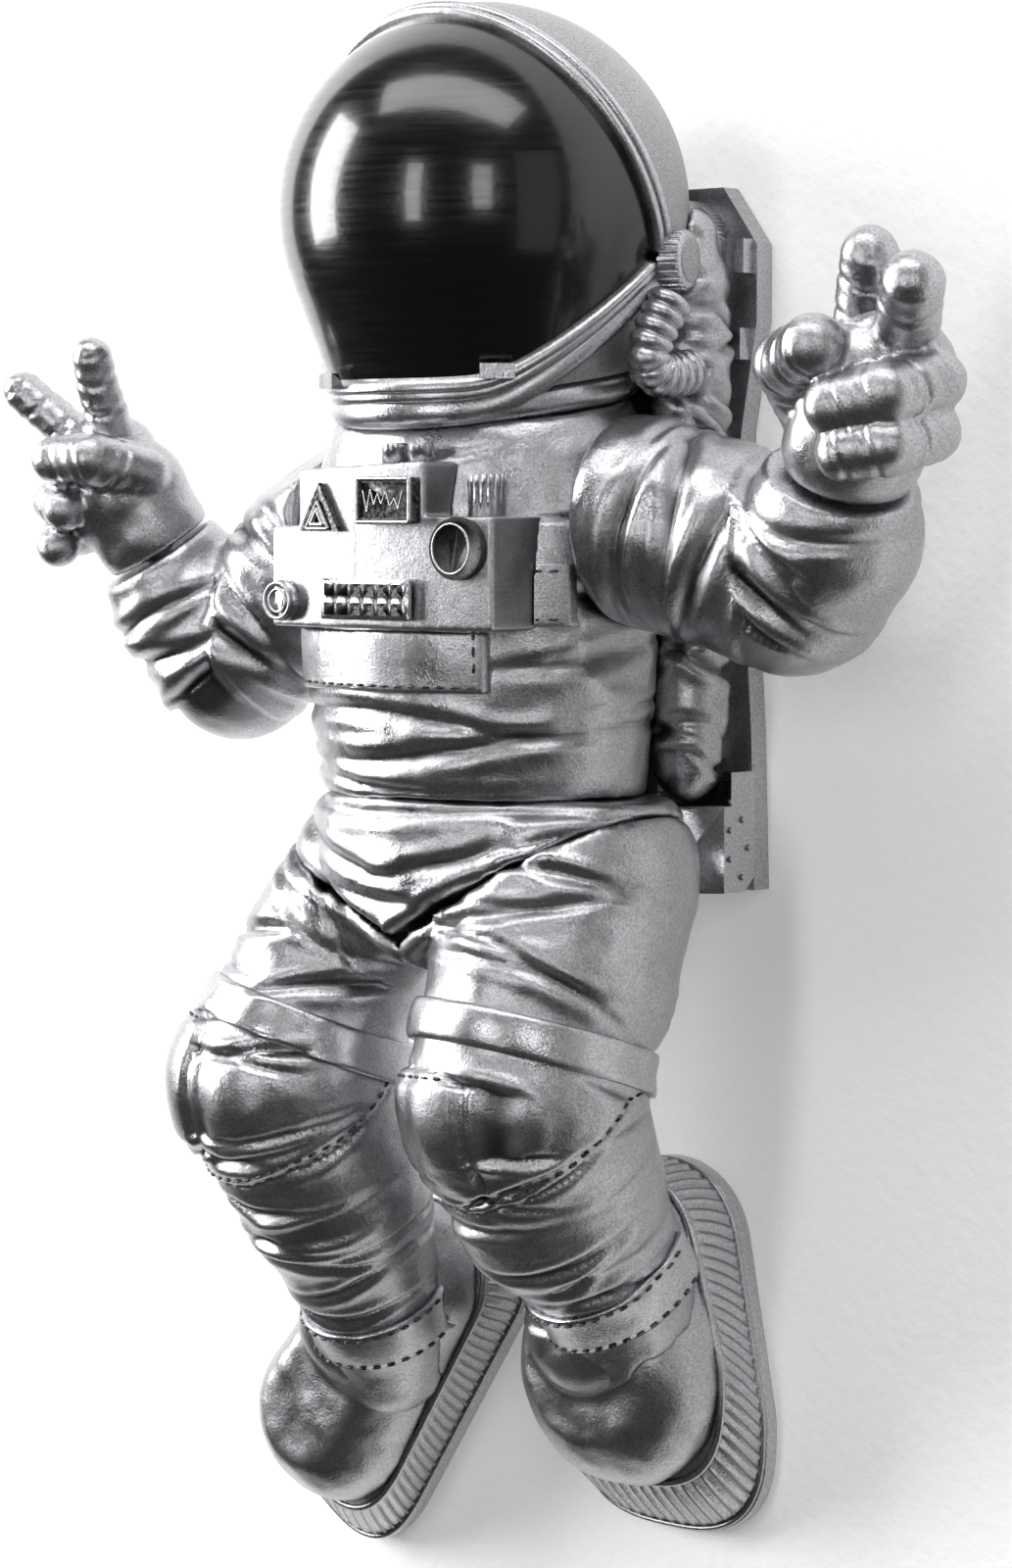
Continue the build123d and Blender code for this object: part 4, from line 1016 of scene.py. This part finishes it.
GLOVE = {  # the round joints of each finger, from the palm to the tip, with their radii
    "left": {
        "thumb": [(86, -45, 26, 6.5), (87, -53, 34, 6.9), (98, -59.5, 37, 6.3)],
        "ring": [(116, -46, 30.5, 6.1), (112.5, -56, 28, 6.3), (102, -59, 26, 5.7)],
        "little": [(114.5, -45, 21, 5.9), (112, -55, 18.5, 6.1), (104, -58, 17, 5.5)],
        "index": [(99, -45.5, 38, 6.1), (104, -50, 54, 5.8)],
        "middle": [(108.5, -45.5, 36, 6.3), (116.8, -54, 48.5, 6.2)],
    },
    "right": {
        "index": [(-86, -69, 22, 5.1), (-85.5, -75, 39, 4.4)],
        "middle": [(-94, -69, 20, 5.0), (-106.5, -76, 32, 4.4)],
        "ring": [(-97.5, -67, 11, 4.6), (-96.5, -76, 8, 4.9), (-90, -79, 6, 4.5)],
        "little": [(-97.5, -65, 1, 4.5), (-99, -72, 0, 4.7), (-94.5, -77, -2, 4.4)],
        "thumb": [(-77, -68, 14, 5.6), (-82, -78, 17, 5.8), (-92, -80, 17, 5.2)],
    },
}
JOINT_FOLD = 6.5  # spacing of the folds along a finger


def finger_field(side):
    """Short folds across the fingers, evenly spaced, and soft dents elsewhere."""
    fingers = [(limb_frame([p[:3] for p in run]), run) for run in GLOVE[side].values()]

    def field(points):
        total = np.zeros(len(points))
        for measure, run in fingers:
            along, angle, gap = measure(points)
            near = np.clip((run[-1][3] * 1.35 - gap) / 1.2, 0, 1)
            length = sum((Vector(b[:3]) - Vector(a[:3])).length for a, b in zip(run, run[1:]))
            near *= np.clip(along / 2, 0, 1) * np.clip((length + 2.5 - along) / 2, 0, 1)
            phase = (along + 0.8 * np.sin(np.radians(angle * 2))) / JOINT_FOLD
            line = np.abs(phase - np.round(phase)) * JOINT_FOLD
            total += near * (0.12 * np.exp(-(((line - 1.5) / 0.9) ** 2)) - 0.30 * np.exp(-((line / 0.6) ** 2)))
        return np.maximum(total, -0.9) + 0.35 * soft_noise(points, 0.16)

    return field


for side in SIDES:
    seed = 5 if side == "left" else 13
    field = strewn_folds(SLEEVE[side], seed=seed, count=11, reach=(2, 60), placed=SLEEVE_FOLDS[side])
    bm = press(clay(f"{side}_sleeve", 0.85, 6), calm_near_joints(side, field))
    sleeve = link(f"{side}_sleeve_suit", bm, SILVER, f"{side}_arm", f"{side}_sleeve")
    bm = press(clay(f"{side}_glove", 0.6, 5), calm_near_joints(side, finger_field(side)))
    glove = link(f"{side}_glove_suit", bm, SILVER, f"{side}_hand", f"{side}_glove")
    print(side, "sleeve and glove faces:", len(sleeve.data.polygons), len(glove.data.polygons))

# %% [markdown]
# ## Boots
# A boot is a thick sole, a ribbed rubber rand, a line of piping, and a padded upper. Seen from above its
# outline is a heel circle and a squared toe joined by straight sides. The rand's ribs are set apart by
# narrow grooves in its wall, one every 3 mm.

# %% Boot outlines
TOE = {"left": (18.5, -187.5, 26.0), "right": (-73.5, -207.0, 21.5)}
HEEL = {"left": (18.5, -150.5, 19.0), "right": (-41.0, -162.0, 18.5)}
TOE_SLOPE = 12.0
SOLE_THICK = 5.0
RAND_THICK = 13.0
RIB = 3.0


def boot_outline(side, inset, toe_back, count):
    """Evenly spaced x, z points of a boot's outline in mm, drawn in by inset, with a squared toe."""
    toe, heel = Vector(TOE[side][:2]), Vector(HEEL[side][:2])
    ahead = (toe - heel).normalized()
    toe -= ahead * toe_back
    aside = Vector((ahead.y, -ahead.x))
    outline = []
    for i in range(721):
        turn = 2 * math.pi * i / 720
        way = -ahead * math.cos(turn) + aside * math.sin(turn)
        toe_reach = toe.dot(way) + TOE[side][2]
        if toe_reach > heel.dot(way) + HEEL[side][2]:
            r = TOE[side][2] - inset
            s, t = max(0, way.dot(ahead)), way.dot(aside)
            square = (abs(s) ** 2.7 + abs(t) ** 2.7) ** (-1 / 2.7) if s > 0 else 1.0
            outline.append(toe + (ahead * way.dot(ahead) * (1 - 0.06 * s) + aside * t) * r * square)
        else:
            outline.append(heel + way * (HEEL[side][2] - inset))
    run = np.concatenate([[0], np.cumsum([(b - a).length for a, b in zip(outline, outline[1:])])])
    want = np.linspace(0, run[-1], count + 1)
    return np.array([np.interp(want, run, [p[k] for p in outline]) for k in range(2)]).T, run[-1]


def outline_grid(bm, side, columns, rows, section, relief=None):
    """A wall or tube round a boot: section(v) gives the inset, the toe's step back and y, in mm.
    relief(u, v) gives how far a point stands out from the wall."""
    lines = {}

    def place(u, v):
        row = round(v * rows)
        inset, toe_back, y = section(v)
        if row not in lines:
            lines[row] = boot_outline(side, inset, toe_back, columns)[0]
        line = lines[row]
        column = round(u * columns)
        x, z = line[column]
        if relief:
            before, after = line[(column - 1) % columns], line[(column + 1) % columns]
            way = Vector(after - before).normalized()
            out = relief(u, v)
            x, z = x - way.y * out, z + way.x * out
        return Vector((x, y, z)) * MM

    # Points sunk into the rand's grooves are painted dark, as painted shade in the grooves.
    bent_grid(bm, columns, rows, place, paint=lambda u, v: max(0, -relief(u, v)) * 1.5 if relief else 0.0)


# %% Soles, ribbed rands, piping and uppers
def sole_section(v):
    """Inset, step back and y of the sole's wall, from the wall of the room forwards."""
    return 0.3 * max(0, 1 - v * 4) + 0.9 * max(0, v * 4 - 3) ** 2, 0, -0.6 - (SOLE_THICK - 0.7) * v


def rand_section(v):
    """Inset, step back and y of the rand's wall, which swells a little half way."""
    swell = 0.9 * math.sin(math.pi * v) ** 0.7
    return 0.5 + 0.7 * v - swell, 1.0 + (TOE_SLOPE - 1.0) * v, -SOLE_THICK - RAND_THICK * v


PIPING = ((SOLE_THICK + RAND_THICK, 1.2, TOE_SLOPE, 0.8), (SOLE_THICK + 0.4, 0.2, 1.0, 0.6))
for side in SIDES:
    bm = bmesh.new()
    outline_grid(bm, side, 240, 12, sole_section)
    sole = link(f"{side}_boot_sole_cast", bm, SILVER_SMOOTH, "trunk", f"{side}_boot_sole")
    sole.data.set_sharp_from_angle(angle=math.radians(50))

    ribs = round(boot_outline(side, 1.0, 0, 40)[1] / RIB)

    def rib_relief(u, v):
        slant = 1.3 * v * math.sin(2 * math.pi * u)
        phase = u * ribs + slant
        line = abs(phase - round(phase)) * RIB
        fade = min(1, v * 5, (1 - v) * 7)
        return fade * (0.25 - 0.85 * math.exp(-((line / 0.42) ** 2)))

    bm = bmesh.new()
    outline_grid(bm, side, ribs * 10, 18, rand_section, relief=rib_relief)
    link(f"{side}_boot_rand_ribs", bm, SILVER_SMOOTH, "trunk", f"{side}_boot_rand")

    bm = bmesh.new()
    for depth, inset, back, r in PIPING:

        def bead(v):
            turn = 2 * math.pi * v
            return inset - r * math.cos(turn), back, -depth - r * math.sin(turn)

        outline_grid(bm, side, 240, 10, bead)
    link(f"{side}_boot_piping", bm, SILVER_SMOOTH, "trunk")

    toe_x, toe_z, toe_r = TOE[side]
    heel_x, heel_z, heel_r = HEEL[side]
    toe, heel = Vector((toe_x, toe_z)), Vector((heel_x, heel_z))
    ahead = (toe - heel).normalized()
    ball = (toe - ahead * (TOE_SLOPE + 5.0), toe_r - 2.2, 4.5, 4.2)
    instep = (heel + ahead * 13.0, heel_r - 0.8, 23.0, 2.1)

    def upper_blobs(bm):
        """A squared dome over the toes and a round one over the instep."""
        aside = Vector((ahead.y, -ahead.x))
        for spot, r, high, square in (ball, instep):
            for v in bmesh.ops.create_uvsphere(bm, u_segments=48, v_segments=28, radius=1.0)["verts"]:
                s, t, h = v.co.x, v.co.y, v.co.z
                flat = math.hypot(s, t)
                grow = 1.0
                if flat > 1e-6:
                    s, t = s / flat, t / flat
                    grow = (abs(s) ** square + abs(t) ** square) ** (-1 / square)
                    if s < 0:
                        grow = 1.0
                flat = flat**0.62
                place = spot + (ahead * s * (0.96 if s > 0 else 1) + aside * t) * r * flat * grow
                rise = high * h**0.8 if h > 0 else 10.0 * h
                v.co = Vector((place.x, -18.0 - rise, place.y)) * MM

    bm = clay(f"{side}_boot_upper", 0.8, 9, extra=upper_blobs)
    foot_axis = [(heel_x, -24, heel_z + 12), (heel_x, -24, heel_z), (toe_x, -20, toe_z)]
    press(bm, strewn_folds(foot_axis, seed=44, count=5, reach=(10, 34), depth=(0.4, 0.9)))
    link(f"{side}_boot_upper_suit", bm, SILVER, "trunk", f"{side}_boot_upper")
print("boots done")

# %% [markdown]
# ## Control box, flap and belt
# The box on the chest is a hard casting with softened edges. Its faces that turn away from the front, except
# the top, are painted dark: painted shade on its sides and underside. Its front stays bright leaf, and its
# inlaid controls are flooded black.

# %% Chest box and its controls
bm = press(clay("chest_box", 0.45, 4), lambda points: 0.05 * soft_noise(points, 0.15))
bm.normal_update()
layer = bm.verts.layers.float.get("wash_and_shade")
# Painted shade: faces turned away from the front, but not up, are darkened up to 0.55.
for v in bm.verts:
    side_shade = 1 - min(1, max(0, -v.normal.y) / 0.5)
    if v.normal.z < 0.7:
        v[layer] = max(v[layer], 0.55 * side_shade)
link("chest_box_cast", bm, SILVER_SATIN, "trunk", "chest_box")

for node, material, slot in (
    ("warning_triangle", BLACK_WASH_AND_SHADE, "dark_inlay"),
    ("display_screen", BLACK_WASH_AND_SHADE, "dark_inlay"),
    ("keypad", SILVER_SMOOTH, "dark_inlay"),
    ("round_dial", ENAMEL, "dark_inlay"),
    ("push_button", SILVER_SMOOTH, "dark_inlay"),
    ("top_knobs", SILVER_SMOOTH, "silver_resin"),
    ("valve_knob", SILVER_SMOOTH, "silver_resin"),
):
    piece = smooth_copy(node, material, slot, sharp=50 if "knob" in node else 28)
    if node == "keypad":  # black wash is left on the keys
        front = min(v.co.y for v in piece.data.vertices)
        wash_and_shade = piece.data.attributes["wash_and_shade"].data
        for v in piece.data.vertices:
            wash_and_shade[v.index].value = 1.0 if v.co.y < front + 0.35 * MM else 0.0

sewn_skin = {}
for node, seed in (("belly_flap", 2), ("chest_belt", 6)):
    bm = press(clay(node, 0.6, 3), lambda points: 0.3 * soft_noise(points, 0.12, seed) - 0.15)
    bm.normal_update()
    sewn_skin[node] = skin_of(bm)
    link(node + "_cloth", bm, SILVER, "trunk", node)


def front_of(node):
    """The y, in mm, of the front of a CAD node."""
    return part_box(node)[0][1] / MM


def ring(bm, x, y, z, r, radius, count=48):
    """A bead bent round a circle that faces the front, or round a triangle if the count is 3."""
    turns = [2 * math.pi * i / count for i in range(count)]
    if count == 3:
        spots = [(x + r * math.sin(t), y, z + r * math.cos(t)) for t in turns]
    else:
        spots = [(x + r * math.cos(t), y, z + r * math.sin(t)) for t in turns]
    wire(bm, spots, radius)


bm = bmesh.new()
screen_y = front_of("display_screen") - 0.1
SCREEN_X, SCREEN_Z, HALF_W, HALF_H = 8.2, 8.2, 7.2, 4.3
corners = ((-1, -1), (1, -1), (1, 1), (-1, 1))
wire(bm, [(SCREEN_X + a * HALF_W, screen_y, SCREEN_Z + b * HALF_H) for a, b in corners], 0.5)
trace = [(-5.5, 2.0), (-4.4, -2.4), (-3.4, 2.2), (-2.4, -1.0), (-1.4, 1.4), (-0.4, -0.8)]
trace += [(0.8, 1.8), (2.0, -1.2), (3.2, 0.4), (4.2, -1.8), (5.4, 2.0)]
wire(bm, [(SCREEN_X + a, screen_y, SCREEN_Z + b) for a, b in trace], 0.2, closed=False, columns=240)
for size, radius in ((3.6, 0.35), (2.0, 0.55)):
    ring(bm, -10.8, front_of("warning_triangle") - 0.05, 5.2 - 0.9, size, radius, count=3)
ring(bm, 25.3, front_of("round_dial") - 0.05, -1.3, 4.9, 0.28)
for size, radius in ((3.6, 0.45), (2.3, 0.3)):
    ring(bm, -22.3, front_of("push_button") + 0.25, -12.2, size, radius)
link("chest_box_trims", bm, SILVER_SMOOTH, "trunk")

# %% Stitches of the belt and the flap
bm = bmesh.new()
around = round_limb((0, 0, -1))
for z in (-5.8, -15.4):
    for start in (36, -64):
        row = [(Vector((0, -44, z)) * MM, around(start + 2 * i)) for i in range(15)]
        stitches(bm, sewn_skin["chest_belt"], row)
lower = [(-25 + 0.5 * i, -60, -29) for i in range(97)]
outer = [(23.4, -60, -18.5 - 0.5 * i) for i in range(20)]
for row in (lower, outer):
    stitches(bm, sewn_skin["belly_flap"], [(Vector(p) * MM, Vector((0, -1, 0))) for p in row])
# The stitches are painted near-black: painted shade of their sunken holes.
link("belt_and_flap_stitches", bm, BLACK_WASH_AND_SHADE, "trunk")
print("control box done")

# %% [markdown]
# ## Backpack
# Behind the figure is a flat pack with a wrinkled duct wrapped round each long edge. The plate behind it
# hangs on the wall by two keyholes.

# %% Backpack
for node, finish in (
    ("back_plate", SILVER_SATIN),
    ("pack_housing", SILVER_SATIN),
    ("pack_base", SILVER_SMOOTH),
    ("pack_clips", SILVER_SMOOTH),
    ("pack_rivets", SILVER_SMOOTH),
):
    smooth_copy(node, finish, sharp=28)
for side, sign in SIDES.items():
    axis = [(sign * 33, -17.5, 64), (sign * 33, -17.5, -50)]
    deep = {"depth": (1.1, 1.9), "width": (1.3, 2.3), "span": (70, 170)}
    wraps = strewn_folds(axis, seed=50 + sign, count=34, reach=(2, 112), **deep)
    bm = press(clay(f"{side}_duct", 0.7, 4), wraps)
    link(f"{side}_duct_wrapped", bm, SILVER, "trunk", f"{side}_duct")

# %% Hanging hardware and the parts inside
hidden = [f"{side}_{part}" for side in SIDES for part in ("shoulder_peg", "shoulder_washer", "wrist_peg")]
for node in ["keyhole_plates", "keyhole_screws", "neck_stud", *hidden]:
    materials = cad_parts[node].data.materials
    materials.clear()
    materials.append(SILVER_SATIN if node == "neck_stud" else ZINC)

# %% The size of the finished figure
new_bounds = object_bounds()
plain = lambda corners: [[round(float(c), 6) for c in corner] for corner in corners]
{"cad": plain(cad_bounds), "visual": plain(new_bounds)}
print("CAD box:", plain(cad_bounds), "finished:", plain(new_bounds))
